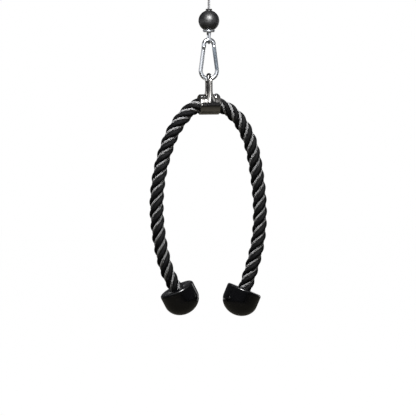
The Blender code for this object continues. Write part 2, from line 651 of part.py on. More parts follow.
def make_stirrup(stirrup_frame, barrel_frame):
    """The casting: a round-bar loop whose two feet spread onto a short flared barrel."""
    chamfer = BARREL_CHAMFER
    middle = BARREL_HALF / 2
    profile = [(0, BARREL_HALF), (BARREL_R - chamfer, BARREL_HALF), (BARREL_R, BARREL_HALF - chamfer),
               (BARREL_R, middle), (BARREL_R, -middle), (BARREL_R, chamfer - BARREL_HALF),
               (BARREL_R - chamfer, -BARREL_HALF), (0, -BARREL_HALF)]
    barrel = turned("stirrup", profile, steps=BARREL_STEPS, axis="X")

    bar_r = STIRRUP_BAR_D / 2
    leg = BARREL_R - STIRRUP_LEG_INSET - bar_r
    centre_z = STIRRUP_HEIGHT - leg
    foot_z = math.sqrt(BARREL_R ** 2 - (leg + bar_r) ** 2) / 2
    heights = [foot_z + FOOT_FLARE_HEIGHT * i / 8 for i in range(9)]
    leg_up = [(-leg, z) for z in heights]
    over = arc((0, centre_z), (leg, leg), 180, 0, 16)
    route = leg_up + over + [(-y, z) for y, z in reversed(leg_up)]
    sides = 16
    work = bmesh.new()
    rings = []
    for i, (y, z) in enumerate(route):
        before = Vector(route[max(i - 1, 0)])
        after = Vector(route[min(i + 1, len(route) - 1)])
        along = (after - before).normalized()
        outward = Vector((-along.y, along.x))
        spread = max(0, 1 - (z - foot_z) / FOOT_FLARE_HEIGHT) ** 2.5
        wide = bar_r + FOOT_FLARE_REACH * spread
        row = []
        for k in range(sides):
            angle = 2 * math.pi * k / sides
            across = bar_r * math.sin(angle)
            row.append(work.verts.new((wide * math.cos(angle), y + outward.x * across,
                                       z + outward.y * across)))
        rings.append(row)
    for lower, upper in zip(rings, rings[1:]):
        for k in range(sides):
            n = (k + 1) % sides
            work.faces.new((lower[k], lower[n], upper[n], upper[k]))
    work.faces.new(rings[0])
    work.faces.new(rings[-1])
    bmesh.ops.recalc_face_normals(work, faces=work.faces)
    mesh = bpy.data.meshes.new("loop_shape")
    work.to_mesh(mesh)
    work.free()
    shade(mesh)
    loop = bpy.data.objects.new("loop_shape", mesh)
    place(loop, barrel_frame)

    boss_top = BARREL_R + SCREW_BOSS_HEIGHT
    boss = rod("screw_boss_shape", SCREW_BOSS_D / 2, boss_top, BORE_R + BARREL_WALL / 2, 24)
    lean = (SCREW_LEAN, 0, 0)
    place(boss, barrel_frame, location=(SCREW_PLACE, 0, 0), rotation=lean)

    half = mouth_profile()
    beyond = BARREL_HALF + CUT_OVERRUN
    outside = (half[-1][0], beyond)
    upper = [(0, beyond), outside] + [point for point in reversed(half)]
    lower = [(r, -x) for r, x in reversed(upper)]
    bore = turned("barrel_bore_cutter", upper + lower[1:], steps=BARREL_STEPS, axis="X")
    place(bore, barrel_frame)
    hole = rod("screw_hole_cutter", SCREW_D / 2 + GAP, boss_top + CUT_OVERRUN, BORE_R / 2)
    place(hole, barrel_frame, location=(SCREW_PLACE, 0, 0), rotation=lean)
    join(barrel, loop, boss)
    cut(barrel, bore, hole)
    place(barrel, barrel_frame, CAST_CHROME)

    seat = boss_top + GAP
    top = seat + SCREW_HEAD_HEIGHT
    head_r = SCREW_HEAD_D / 2
    recess_r = SCREW_RECESS_D / 2
    dome = arc((recess_r, seat), (head_r - recess_r, SCREW_HEAD_HEIGHT), 90, 0, 5)
    profile = [(0, top - SCREW_RECESS_DEPTH), (recess_r, top - SCREW_RECESS_DEPTH)] + dome
    profile += [(SCREW_D / 2, seat), (SCREW_D / 2, BORE_R + GAP), (0, BORE_R + GAP)]
    screw = turned("rope_screw", profile, steps=SMALL_TURN_STEPS)
    place(screw, barrel_frame, BRIGHT_STEEL, location=(SCREW_PLACE, 0, 0), rotation=lean)


def make_rope_middle(barrel_frame):
    """The rope inside the barrel, dished at both ends for the rounded ends of the legs."""
    last = BARREL_HALF - MIDDLE_INSIDE_MOUTH
    count = 12
    route = []
    for i in range(count + 1):
        x = last * (2 * i / count - 1)
        dip = max(0, abs(x) - ROPE_STRAIGHT)
        route.append((x, 0, -ROPE_DIP * dip ** 2))
    middle = tube("rope_middle", route, ROPE_R, 4)
    for side, name in ((-1, "left"), (1, "right")):
        reach = ROPE_R + GAP
        ball = turned(name + "_dish_cutter", arc((0, 0), (reach, reach), 90, -90, 12), steps=24)
        place(ball, barrel_frame, location=(side * PIVOT_X, 0, -PIVOT_DROP))
        cut(middle, ball)
    place(middle, barrel_frame, BLACK_ROPE)


def make_leg(side, route, knob, leg_frame, knob_frame):
    """One rope leg with its knob and what holds them together."""
    pivot = Vector((PIVOT_X * (-1 if side == "left" else 1), 0, -PIVOT_DROP))
    slope = 2 * ROPE_DIP * (PIVOT_X - ROPE_STRAIGHT)
    points = [Vector((x, 0, z)) - pivot for x, z in route]
    face = Vector((knob[0], 0, knob[1])) - pivot
    inward = Vector((-math.sin(knob_frame.rotation_euler.y), 0, -math.cos(knob_frame.rotation_euler.y)))
    end = face + inward * ROPE_IN_KNOB
    out = -1 if side == "left" else 1
    lead = Vector((out, 0, -slope)).normalized() * ROPE_R / 2
    path = smooth_path([Vector((0, 0, 0)), lead] + points + [face, end], ROPE_POINT_SPACING)
    leg = tube("rope_" + side, path, ROPE_R, 4)
    ball = turned(side + "_pivot_ball_shape", arc((0, 0), (ROPE_R, ROPE_R), 90, -90, 12), steps=24)
    place(ball, leg_frame)
    hole_top = END_SCREW_LENGTH - ROPE_IN_KNOB
    hole = rod(side + "_end_hole_cutter", END_SCREW_D / 2 + GAP, hole_top, -ROPE_IN_KNOB - CUT_OVERRUN)
    place(hole, knob_frame)
    place(cut(join(leg, ball), hole), leg_frame, BLACK_ROPE)

    neck_r = ROPE_R + GAP
    chamber_r = BAND_R + GAP
    band_top = -KNOB_LIP - GAP
    band_foot = band_top - BAND_LENGTH
    washer_top = -ROPE_IN_KNOB - GAP
    washer_foot = washer_top - WASHER_THICKNESS
    head_foot = washer_foot - GAP - END_SCREW_HEAD_HEIGHT
    floor = head_foot - GAP
    profile = [(0, floor), (chamber_r, floor), (chamber_r, -KNOB_LIP), (neck_r, -KNOB_LIP), (neck_r, 0)]
    profile += arc((KNOB_R - KNOB_EDGE, -KNOB_EDGE), (KNOB_EDGE, KNOB_EDGE), 90, 0, 4)
    profile += arc((0, -KNOB_SIDE), (KNOB_R, KNOB_DOME), 0, -90, 10)
    cap = turned("cap_" + side, profile)
    place(cap, knob_frame, BLACK_KNOB)

    band = ring("end_band_" + side, BAND_R, neck_r, band_top, band_foot)
    place(band, knob_frame, INNER_STEEL)
    washer = ring("end_washer_" + side, WASHER_D / 2, END_SCREW_D / 2 + GAP, washer_top, washer_foot,
                  SMALL_TURN_STEPS)
    place(washer, knob_frame, INNER_STEEL)
    head_top = washer_foot - GAP
    head_r = END_SCREW_HEAD_D / 2
    shank_r = END_SCREW_D / 2
    profile = [(0, hole_top - GAP), (shank_r, hole_top - GAP), (shank_r, head_top), (head_r, head_top)]
    profile += arc((0, head_top), (head_r, END_SCREW_HEAD_HEIGHT), -20, -90, 4)
    screw = turned("end_screw_" + side, profile, steps=SMALL_TURN_STEPS)
    place(screw, knob_frame, INNER_STEEL)


def build():
    root = frame_at("hang_point")
    ball_frame = frame_at("ball_axis", root, (0, 0, BALL_Z))
    eye_frame = frame_at("eye_axis", root, (0, 0, EYE_BAR_Z))
    hook_frame = frame_at("hook_pivot", eye_frame)
    hinge_frame = frame_at("gate_pivot", hook_frame, (HINGE_X, 0, HINGE_Z), -HOOK_LEAN)
    nose_x, nose_z = hook_point(1, GATE_LINE)
    nose_frame = frame_at("nose_place", hook_frame, (nose_x, 0, nose_z), -HOOK_LEAN)
    stirrup_frame = frame_at("stirrup_pivot", hook_frame, (0, 0, HOOK_BAR_Z))
    barrel_frame = frame_at("barrel_centre", stirrup_frame, (0, 0, BARREL_Z))
    make_cable_end(root)
    make_stop_ball(ball_frame)
    make_cable_eye(eye_frame)
    make_hook(hook_frame, hinge_frame, nose_frame)
    make_rivet(hinge_frame)
    make_gate(hinge_frame)
    make_stirrup(stirrup_frame, barrel_frame)
    make_rope_middle(barrel_frame)
    legs = (("left", -1, LEFT_ROUTE, LEFT_KNOB, -LEFT_KNOB_TILT),
            ("right", 1, RIGHT_ROUTE, RIGHT_KNOB, RIGHT_KNOB_TILT))
    for side, sign, route, knob, tilt in legs:
        leg_frame = frame_at(side + "_leg_pivot", barrel_frame, (sign * PIVOT_X, 0, -PIVOT_DROP))
        face = (knob[0] - sign * PIVOT_X, 0, knob[1] + PIVOT_DROP)
        knob_frame = frame_at(side + "_knob_face", leg_frame, face, tilt)
        make_leg(side, route, knob, leg_frame, knob_frame)


build()
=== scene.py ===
"""The looks of a two-handed pull rope that hangs on a cable end.

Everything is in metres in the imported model's frame: +Z up, +X to the viewer's right,
and the origin where the cable's top eye bears on its hook.
"""

import math

import bmesh
import bpy
import numpy as np
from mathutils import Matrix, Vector


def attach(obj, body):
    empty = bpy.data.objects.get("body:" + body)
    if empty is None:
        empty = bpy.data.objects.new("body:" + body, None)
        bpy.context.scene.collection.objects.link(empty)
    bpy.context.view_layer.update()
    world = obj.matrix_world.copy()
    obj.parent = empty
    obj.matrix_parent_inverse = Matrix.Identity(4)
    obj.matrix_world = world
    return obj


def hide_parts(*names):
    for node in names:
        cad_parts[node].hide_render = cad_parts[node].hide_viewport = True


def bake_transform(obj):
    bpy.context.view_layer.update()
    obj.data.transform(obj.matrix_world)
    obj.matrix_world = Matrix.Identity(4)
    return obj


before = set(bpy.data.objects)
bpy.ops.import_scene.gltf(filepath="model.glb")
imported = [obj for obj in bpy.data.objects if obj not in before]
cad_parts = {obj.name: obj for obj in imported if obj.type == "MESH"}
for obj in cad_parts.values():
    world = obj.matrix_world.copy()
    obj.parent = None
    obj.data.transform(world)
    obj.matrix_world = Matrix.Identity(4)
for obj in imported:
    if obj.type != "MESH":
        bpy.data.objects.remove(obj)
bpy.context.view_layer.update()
bpy.context.scene.view_settings.view_transform = "Standard"

# Cable, its top loop and the ferrules on it
CABLE_LAY = 0.032
LOOP_R = 0.0123
LOOP_CENTRE_Z = -0.008
LOOP_TAPER = 0.026
STRAND_X = 0.0032
FERRULE_TOP = -0.0343
FERRULE_FOOT = -0.0563
CABLE_EASE = 0.009
CABLE_FOOT = -0.133802

# Ball and disc
BALL_Z = -0.105998
BALL_R = 0.020
BALL_CROWN = 0.018998
BALL_FOOT = 0.017204
DISC_TOP = -0.123502
DISC_FOOT = -0.128002
EYE_Z = -0.149102

# Snap hook
NARROW_Z = -0.151902
NARROW_R = 0.0094
WIDE_Z = -0.202002
WIDE_R = 0.0160
HOOK_LEAN = math.asin((WIDE_R - NARROW_R) / (NARROW_Z - WIDE_Z))
GATE_LINE = math.sqrt((NARROW_Z - WIDE_Z) ** 2 - (WIDE_R - NARROW_R) ** 2)
HINGE = Vector((0.010003, 0, -0.155818))
HINGE_DROP = 0.0052
SHOULDER_DROP = 0.0008
HOOK_BEND_R = 0.0043
HOOK_WIRE_R = 0.0039
GATE_R = 0.0038
GATE_REACH = 0.04446

# Stirrup and its barrel
BARREL = Vector((0, 0, -0.266552))
BARREL_R = 0.01975
BARREL_HALF = 0.02075
BORE_R = 0.0144
SCREW_X = 0.0128
SCREW_LEAN = math.radians(28)

# Rope: the routes are those of the model's source, from the barrel's middle
ROPE_LAY = 0.070
ROPE_PHASES = (0.718, 1.376)
ROPE_DIP = 12.5
ROPE_STRAIGHT = 0.0087
PIVOT_X = 0.02975
LEAD = 0.007
ROPE_IN_KNOB = 0.024
MIDDLE_HALF = 0.0165
LEFT_ROUTE = [
    (-0.0412, -0.0143), (-0.0543, -0.0281), (-0.0675, -0.0474), (-0.0781, -0.0690),
    (-0.0865, -0.0921), (-0.0929, -0.1148), (-0.0979, -0.1380), (-0.1011, -0.1617),
    (-0.1027, -0.1850), (-0.1027, -0.2060), (-0.1013, -0.2270), (-0.0987, -0.2490),
    (-0.0950, -0.2714), (-0.0903, -0.2930), (-0.0842, -0.3146), (-0.0757, -0.3350),
]
LEFT_KNOB = (-0.0649, -0.3542)
LEFT_TILT = math.radians(-27)
RIGHT_ROUTE = [
    (0.0405, -0.0124), (0.0520, -0.0218), (0.0645, -0.0374), (0.0755, -0.0580),
    (0.0837, -0.0795), (0.0893, -0.1027), (0.0935, -0.1258), (0.0968, -0.1480),
    (0.0994, -0.1698), (0.1012, -0.1980), (0.1014, -0.2220), (0.1002, -0.2447),
    (0.0974, -0.2670), (0.0931, -0.2885), (0.0876, -0.3100), (0.0811, -0.3310),
]
RIGHT_KNOB = (0.0716, -0.3589)
RIGHT_TILT = math.radians(23)

# End knobs
KNOB_R = 0.03475
KNOB_SIDE = 0.0235
KNOB_DOME = 0.0305
KNOB_EDGE = 0.0042
KNOB_LIP = 0.0065
NECK_R = 0.0143
CHAMBER_R = 0.0157
CHAMBER_FLOOR = -0.0299

# Clear space between pieces that meet, and the hole for the cable through three of them
GAP = 0.0003
CABLE_HOLE_R = 0.0028

# The photograph's view
VIEW_AZIMUTH = math.radians(-12.5)
VIEW_ELEVATION = math.radians(5)
VIEW_TARGET = Vector((-0.0017, 0, -0.4664))
VIEW_DISTANCE = 4.461

# Light: where the studio's lamps aim, and the colour that reflections see all round
AIM = (0, 0, -0.40)
ROOM_COLOUR = (0.055, 0.055, 0.060)

# Spin turns the other way round an axis than a rotation does
SPIN_SIGN = -1


def let_go():
    """Leave edit mode and select nothing."""
    if bpy.context.object and bpy.context.object.mode != "OBJECT":
        bpy.ops.object.mode_set(mode="OBJECT")
    bpy.ops.object.select_all(action="DESELECT")


def take(obj):
    """Make this the only selected piece."""
    let_go()
    obj.select_set(True)
    bpy.context.view_layer.objects.active = obj


def open_mesh(obj, kind="VERT"):
    """Edit this piece, with nothing in it selected."""
    take(obj)
    bpy.ops.object.mode_set(mode="EDIT")
    bpy.ops.mesh.select_mode(type=kind)
    bpy.ops.mesh.select_all(action="DESELECT")


def close_mesh():
    bpy.ops.object.mode_set(mode="OBJECT")


def pick_edges(test):
    """In edit mode, select the edges whose two ends pass the test."""
    bpy.ops.mesh.select_mode(type="EDGE")
    bpy.ops.mesh.select_all(action="DESELECT")
    mesh = bpy.context.object.data
    work = bmesh.from_edit_mesh(mesh)
    for edge in work.edges:
        if test(edge.verts[0].co, edge.verts[1].co):
            edge.select_set(True)
    bmesh.update_edit_mesh(mesh)


def grow(points, sides=64, closed=False):
    """Turn a solid about Z, growing a circle ring by ring through (radius, height) points."""
    radius, height = points[0]
    bpy.ops.mesh.primitive_circle_add(vertices=sides, radius=max(radius, 0.00001),
                                      location=(0, 0, height))
    made = bpy.context.object
    bpy.ops.object.transform_apply(location=True, rotation=True, scale=True)
    open_mesh(made)
    bpy.ops.mesh.select_all(action="SELECT")
    for next_radius, next_height in points[1:]:
        bpy.ops.mesh.extrude_region_move(
            TRANSFORM_OT_translate={"value": (0, 0, next_height - height)})
        wider = max(next_radius, 0.00001) / max(radius, 0.00001)
        bpy.ops.transform.resize(value=(wider, wider, 1), center_override=(0, 0, next_height))
        radius, height = next_radius, next_height
    if closed:
        first, last = points[0], points[-1]
        bpy.ops.mesh.select_all(action="DESELECT")
        pick_edges(lambda a, b: on_ring(a, b, first) or on_ring(a, b, last))
        bpy.ops.mesh.bridge_edge_loops()
    bpy.ops.mesh.select_all(action="SELECT")
    bpy.ops.mesh.remove_doubles(threshold=0.00003)
    bpy.ops.mesh.normals_make_consistent(inside=False)
    close_mesh()
    return made


def on_ring(a, b, ring):
    """Whether both ends of an edge lie on a turned ring of (radius, height)."""
    return all(abs(math.hypot(p.x, p.y) - ring[0]) < 0.00002 and abs(p.z - ring[1]) < 0.00002
               for p in (a, b))


def round_arc(centre, radii, start, end, count):
    """Points on a round or oval arc, both ends included; angles in degrees."""
    points = []
    for i in range(count + 1):
        turn = math.radians(start + (end - start) * i / count)
        points.append((centre[0] + radii[0] * math.cos(turn),
                       centre[1] + radii[1] * math.sin(turn)))
    return points


def apply_step(obj, kind, **settings):
    """Add a modifier, set it and apply it."""
    take(obj)
    step = obj.modifiers.new(kind.lower(), kind)
    for name, value in settings.items():
        setattr(step, name, value)
    bpy.ops.object.modifier_apply(modifier=step.name)
    return obj


def soften(obj, width, segments=3, angle=40):
    """Round every edge sharper than an angle."""
    return apply_step(obj, "BEVEL", width=width, segments=segments, limit_method="ANGLE",
                      angle_limit=math.radians(angle), use_clamp_overlap=True)


def carve(obj, *cutters):
    """Cut shapes out of a piece and throw them away."""
    for cutter in cutters:
        apply_step(obj, "BOOLEAN", operation="DIFFERENCE", object=cutter, solver="EXACT")
        bpy.data.objects.remove(cutter, do_unlink=True)
    return obj


def weld(obj, *others):
    """Join shapes onto a piece as one skin."""
    for other in others:
        apply_step(obj, "BOOLEAN", operation="UNION", object=other, solver="EXACT")
        bpy.data.objects.remove(other, do_unlink=True)
    return obj


def gather(name, *shapes):
    """Put several shapes in one piece."""
    let_go()
    for shape in shapes:
        shape.select_set(True)
    bpy.context.view_layer.objects.active = shapes[0]
    if len(shapes) > 1:
        bpy.ops.object.join()
    made = bpy.context.object
    made.name = name
    made.data.name = name
    return made


def settle(obj, place=(0, 0, 0), turn=(0, 0, 0)):
    """Turn and move a shape, and put its place in its mesh."""
    take(obj)
    obj.rotation_euler = turn
    obj.location = place
    bpy.ops.object.transform_apply(location=True, rotation=True, scale=True)
    return obj


def make_block(place, size):
    """A box of a size, its middle at a place."""
    bpy.ops.mesh.primitive_cube_add(size=1, location=place, scale=size)
    made = bpy.context.object
    take(made)
    bpy.ops.object.transform_apply(location=True, rotation=True, scale=True)
    return made


def finish_piece(obj, name, finish, body, slot, *nodes, smooth=30):
    """Name, shade and paint a piece, and put it on its body in place of its CAD nodes."""
    take(obj)
    bpy.ops.object.shade_smooth_by_angle(angle=math.radians(smooth))
    obj.name = name
    obj.data.name = name
    obj.data.materials.clear()
    obj.data.materials.append(finish)
    if nodes:
        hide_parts(*nodes)
    if body:
        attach(obj, body)
    return obj


def add_node(tree, kind, place, **values):
    """Add a shader node; values for its settings or, by name, its inputs."""
    made = tree.nodes.new(kind)
    made.location = place
    for name, value in values.items():
        if hasattr(made, name):
            setattr(made, name, value)
        else:
            made.inputs[name.replace("_", " ")].default_value = value
    return made


def new_effect(name, inputs, outputs):
    """A shader node group with its input and output sockets."""
    tree = bpy.data.node_groups.new(name, "ShaderNodeTree")
    for socket, kind, value in inputs:
        made = tree.interface.new_socket(socket, in_out="INPUT", socket_type=kind)
        made.default_value = value
    for socket, kind in outputs:
        tree.interface.new_socket(socket, in_out="OUTPUT", socket_type=kind)
    return tree, tree.nodes.new("NodeGroupInput"), tree.nodes.new("NodeGroupOutput")


def make_grain_effect():
    """Fine and coarse unevenness, as a height, with a slow patchiness beside it."""
    tree, inside, out = new_effect(
        "surface_grain",
        [("Scale", "NodeSocketFloat", 1000.0), ("Coarse share", "NodeSocketFloat", 0.3)],
        [("Height", "NodeSocketFloat"), ("Patches", "NodeSocketFloat")])
    inside.location = (-900, 0)
    place = add_node(tree, "ShaderNodeTexCoord", (-900, 250))
    fine = add_node(tree, "ShaderNodeTexNoise", (-500, 250), Detail=4.0, Roughness=0.6)
    slower = add_node(tree, "ShaderNodeMath", (-700, -50), operation="MULTIPLY")
    slower.inputs[1].default_value = 0.12
    coarse = add_node(tree, "ShaderNodeTexNoise", (-500, -50), Detail=3.0, Roughness=0.55)
    blend = add_node(tree, "ShaderNodeMix", (-250, 150), data_type="FLOAT")
    for noise in (fine, coarse):
        tree.links.new(place.outputs["Object"], noise.inputs["Vector"])
    tree.links.new(inside.outputs["Scale"], fine.inputs["Scale"])
    tree.links.new(inside.outputs["Scale"], slower.inputs[0])
    tree.links.new(slower.outputs[0], coarse.inputs["Scale"])
    tree.links.new(inside.outputs["Coarse share"], blend.inputs["Factor"])
    tree.links.new(fine.outputs["Fac"], blend.inputs["A"])
    tree.links.new(coarse.outputs["Fac"], blend.inputs["B"])
    tree.links.new(blend.outputs["Result"], out.inputs["Height"])
    tree.links.new(coarse.outputs["Fac"], out.inputs["Patches"])
    return tree


def make_scratch_effect():
    """Sparse hairline scuffs in two directions, as a mask."""
    tree, inside, out = new_effect(
        "hairline_scuffs",
        [("Scale", "NodeSocketFloat", 300.0), ("Amount", "NodeSocketFloat", 0.3)],
        [("Mask", "NodeSocketFloat")])
    inside.location = (-1100, 0)
    place = add_node(tree, "ShaderNodeTexCoord", (-1100, 300))
    masks = []
    for turn, high in (((0.5, 0.3, 0.9), 300), ((-0.7, 1.1, 0.2), -50)):
        stretch = add_node(tree, "ShaderNodeMapping", (-900, high), Rotation=turn,
                           Scale=(1.0, 0.06, 0.5))
        noise = add_node(tree, "ShaderNodeTexNoise", (-700, high), Detail=2.0, Roughness=0.5)
        thin = add_node(tree, "ShaderNodeMapRange", (-480, high), From_Min=0.66, From_Max=0.72)
        tree.links.new(place.outputs["Object"], stretch.inputs["Vector"])
        tree.links.new(stretch.outputs["Vector"], noise.inputs["Vector"])
        tree.links.new(inside.outputs["Scale"], noise.inputs["Scale"])
        tree.links.new(noise.outputs["Fac"], thin.inputs["Value"])
        masks.append(thin)
    most = add_node(tree, "ShaderNodeMath", (-250, 100), operation="MAXIMUM")
    scaled = add_node(tree, "ShaderNodeMath", (-80, 100), operation="MULTIPLY")
    tree.links.new(masks[0].outputs["Result"], most.inputs[0])
    tree.links.new(masks[1].outputs["Result"], most.inputs[1])
    tree.links.new(most.outputs[0], scaled.inputs[0])
    tree.links.new(inside.outputs["Amount"], scaled.inputs[1])
    tree.links.new(scaled.outputs[0], out.inputs["Mask"])
    return tree


GRAIN = make_grain_effect()
SCUFFS = make_scratch_effect()


def new_finish(name, **values):
    """A material with its shader's plain values set."""
    made = bpy.data.materials.new(name)
    made.use_nodes = True
    shader = made.node_tree.nodes["Principled BSDF"]
    for socket, value in values.items():
        shader.inputs[socket.replace("_", " ")].default_value = value
    return made, made.node_tree, shader


def add_effect(tree, effect, place, **values):
    """Put a shared effect in a material, with its own values."""
    made = add_node(tree, "ShaderNodeGroup", place, node_tree=effect)
    for socket, value in values.items():
        made.inputs[socket.replace("_", " ")].default_value = value
    return made


def spread_between(tree, mask, low, high, place):
    """A value that runs from low to high as a mask goes from 0 to 1."""
    made = add_node(tree, "ShaderNodeMapRange", place, To_Min=low, To_Max=high)
    tree.links.new(mask, made.inputs["Value"])
    return made.outputs["Result"]


def mix_colours(tree, mask, first, second, place):
    """A colour between two, which are colours or sockets, by a mask."""
    made = add_node(tree, "ShaderNodeMix", place, data_type="RGBA")
    tree.links.new(mask, made.inputs["Factor"])
    for socket, colour in (("A", first), ("B", second)):
        if isinstance(colour, tuple):
            colour_input(made, socket).default_value = (*colour, 1)
        else:
            tree.links.new(colour, colour_input(made, socket))
    return next(s for s in made.outputs if s.type == "RGBA")


def colour_input(mixer, name):
    """The colour socket of a Mix node, which has others of the same name."""
    return next(s for s in mixer.inputs if s.name == name and s.type == "RGBA")


def raise_bump(tree, shader, height, strength, distance, place):
    """Feed a height to the shader's normal."""
    bump = add_node(tree, "ShaderNodeBump", place, Strength=strength, Distance=distance)
    tree.links.new(height, bump.inputs["Height"])
    tree.links.new(bump.outputs["Normal"], shader.inputs["Normal"])
    return bump


def make_metal(name, pale, dull, rough, grain, scuffed, bump=0.15, coarse=0.3, bare=1.0):
    """Metal in two tints, with uneven gloss and hairline scuffs.

    pale and dull are its tints, rough its least and most roughness, grain how fine
    its surface is; bare is below 1 for metal under a dull skin.
    """
    made, tree, shader = new_finish(name, Metallic=bare)
    surface = add_effect(tree, GRAIN, (-900, 0), Scale=grain, Coarse_share=coarse)
    worn = add_effect(tree, SCUFFS, (-900, -300), Scale=grain * 0.4, Amount=scuffed)
    tint = mix_colours(tree, surface.outputs["Patches"], pale, dull, (-600, 200))
    tree.links.new(tint, shader.inputs["Base Color"])
    base = spread_between(tree, surface.outputs["Patches"], rough[0], rough[1], (-600, -50))
    total = add_node(tree, "ShaderNodeMath", (-350, -150), operation="MULTIPLY_ADD")
    total.inputs[1].default_value = 0.35
    tree.links.new(worn.outputs["Mask"], total.inputs[0])
    tree.links.new(base, total.inputs[2])
    tree.links.new(total.outputs[0], shader.inputs["Roughness"])
    raise_bump(tree, shader, surface.outputs["Height"], bump, 0.0004, (-350, -400))
    return made


def make_moulding(name, dark, pale, rough, grain, bump, **values):
    """Rubber or moulded plastic: uneven gloss, a fine skin and a little dust."""
    made, tree, shader = new_finish(name, Metallic=0.0, **values)
    surface = add_effect(tree, GRAIN, (-900, 0), Scale=grain, Coarse_share=0.25)
    worn = add_effect(tree, SCUFFS, (-900, -300), Scale=grain * 0.15, Amount=0.5)
    tint = mix_colours(tree, surface.outputs["Patches"], dark, pale, (-600, 200))
    dusty = mix_colours(tree, worn.outputs["Mask"], tint, tuple(c * 2.2 for c in pale), (-400, 200))
    tree.links.new(dusty, shader.inputs["Base Color"])
    gloss = spread_between(tree, surface.outputs["Patches"], rough[0], rough[1], (-600, -50))
    tree.links.new(gloss, shader.inputs["Roughness"])
    raise_bump(tree, shader, surface.outputs["Height"], bump, 0.0003, (-350, -400))
    return made


def make_yarn(name, dark, pale, rough, fine, relief=0.3, **values):
    """Twisted yarn: fibres along the piece's own map, darker between them.

    fine is how narrow and how short the fibres are, relief how far they stand up.
    """
    made, tree, shader = new_finish(name, Metallic=0.0, **values)
    place = add_node(tree, "ShaderNodeTexCoord", (-1300, 0))
    along = add_node(tree, "ShaderNodeMapping", (-1100, 0), Scale=(*fine, 1.0))
    fibre = add_node(tree, "ShaderNodeTexNoise", (-900, 0), Scale=6.0, Detail=4.0, Roughness=0.65)
    patch = add_node(tree, "ShaderNodeTexNoise", (-900, -300), Scale=9.0, Detail=3.0)
    tree.links.new(place.outputs["UV"], along.inputs["Vector"])
    tree.links.new(along.outputs["Vector"], fibre.inputs["Vector"])
    tree.links.new(place.outputs["UV"], patch.inputs["Vector"])
    mask = add_node(tree, "ShaderNodeMath", (-650, 0), operation="MULTIPLY")
    mask.use_clamp = True
    tree.links.new(fibre.outputs["Fac"], mask.inputs[0])
    tree.links.new(patch.outputs["Fac"], mask.inputs[1])
    lifted = add_node(tree, "ShaderNodeMapRange", (-500, 150), From_Min=0.12, From_Max=0.42)
    tree.links.new(mask.outputs[0], lifted.inputs["Value"])
    tint = mix_colours(tree, lifted.outputs["Result"], dark, pale, (-300, 200))
    tree.links.new(tint, shader.inputs["Base Color"])
    gloss = spread_between(tree, fibre.outputs["Fac"], rough[0], rough[1], (-300, -50))
    tree.links.new(gloss, shader.inputs["Roughness"])
    raise_bump(tree, shader, fibre.outputs["Fac"], relief, 0.0003, (-300, -300))
    return made


BRIGHT_ZINC = make_metal("bright_zinc", (0.70, 0.73, 0.77), (0.64, 0.67, 0.72),
                         rough=(0.20, 0.25), grain=1500, scuffed=0.10, bump=0.012)
BLUE_ZINC = make_metal("blue_zinc", (0.36, 0.41, 0.46), (0.30, 0.35, 0.41),
                       rough=(0.17, 0.22), grain=1500, scuffed=0.10, bump=0.012)
CAST_CHROME = make_metal("cast_chrome", (0.40, 0.39, 0.38), (0.31, 0.30, 0.28),
                         rough=(0.07, 0.11), grain=900, scuffed=0.3, bump=0.04, coarse=0.8)
SCREW_STEEL = make_metal("dark_screw_steel", (0.055, 0.055, 0.058), (0.035, 0.035, 0.037),
                         rough=(0.36, 0.46), grain=1200, scuffed=0.2, bare=0.5)
GALVANISED = make_metal("galvanised_steel", (0.26, 0.265, 0.275), (0.19, 0.195, 0.21),
                        rough=(0.52, 0.64), grain=1200, scuffed=0.3, bare=0.3)
CABLE_STEEL = make_metal("drawn_cable_steel", (0.31, 0.31, 0.32), (0.25, 0.25, 0.26),
                         rough=(0.55, 0.65), grain=1500, scuffed=0.2, bump=0.03, bare=0.3)
INNER_STEEL = make_metal("plain_inner_steel", (0.48, 0.47, 0.46), (0.36, 0.35, 0.34),
                         rough=(0.32, 0.48), grain=1100, scuffed=0.6)
BALL_RUBBER = make_moulding("satin_ball_rubber", (0.002, 0.002, 0.003), (0.005, 0.005, 0.006),
                            rough=(0.42, 0.48), grain=1400, bump=0.02, Specular_IOR_Level=0.72)
SLEEVE_PLASTIC = make_moulding("black_sleeve_moulding",
                               (0.010, 0.010, 0.010), (0.022, 0.022, 0.022),
                               rough=(0.30, 0.42), grain=1600, bump=0.08)
KNOB_RUBBER = make_moulding("glossy_knob_rubber", (0.0025, 0.0025, 0.0035), (0.005, 0.005, 0.006),
                            rough=(0.13, 0.19), grain=900, bump=0.03, Specular_IOR_Level=0.5)
BLACK_YARN = make_yarn("black_rope_yarn", (0.0008, 0.0008, 0.001), (0.019, 0.019, 0.0205),
                       rough=(0.60, 0.80), fine=(20.0, 1.6), Specular_IOR_Level=0.05)
GREY_YARN = make_yarn("grey_tracer_yarn", (0.35, 0.35, 0.35), (0.43, 0.43, 0.44),
                      rough=(0.75, 0.90), fine=(3.0, 1.2), relief=0.08, Specular_IOR_Level=0.05)


def distance_along(line):
    """Each point's distance from the first one along a line, as an array."""
    return np.concatenate([[0], np.cumsum(np.linalg.norm(np.diff(line, axis=0), axis=1))])


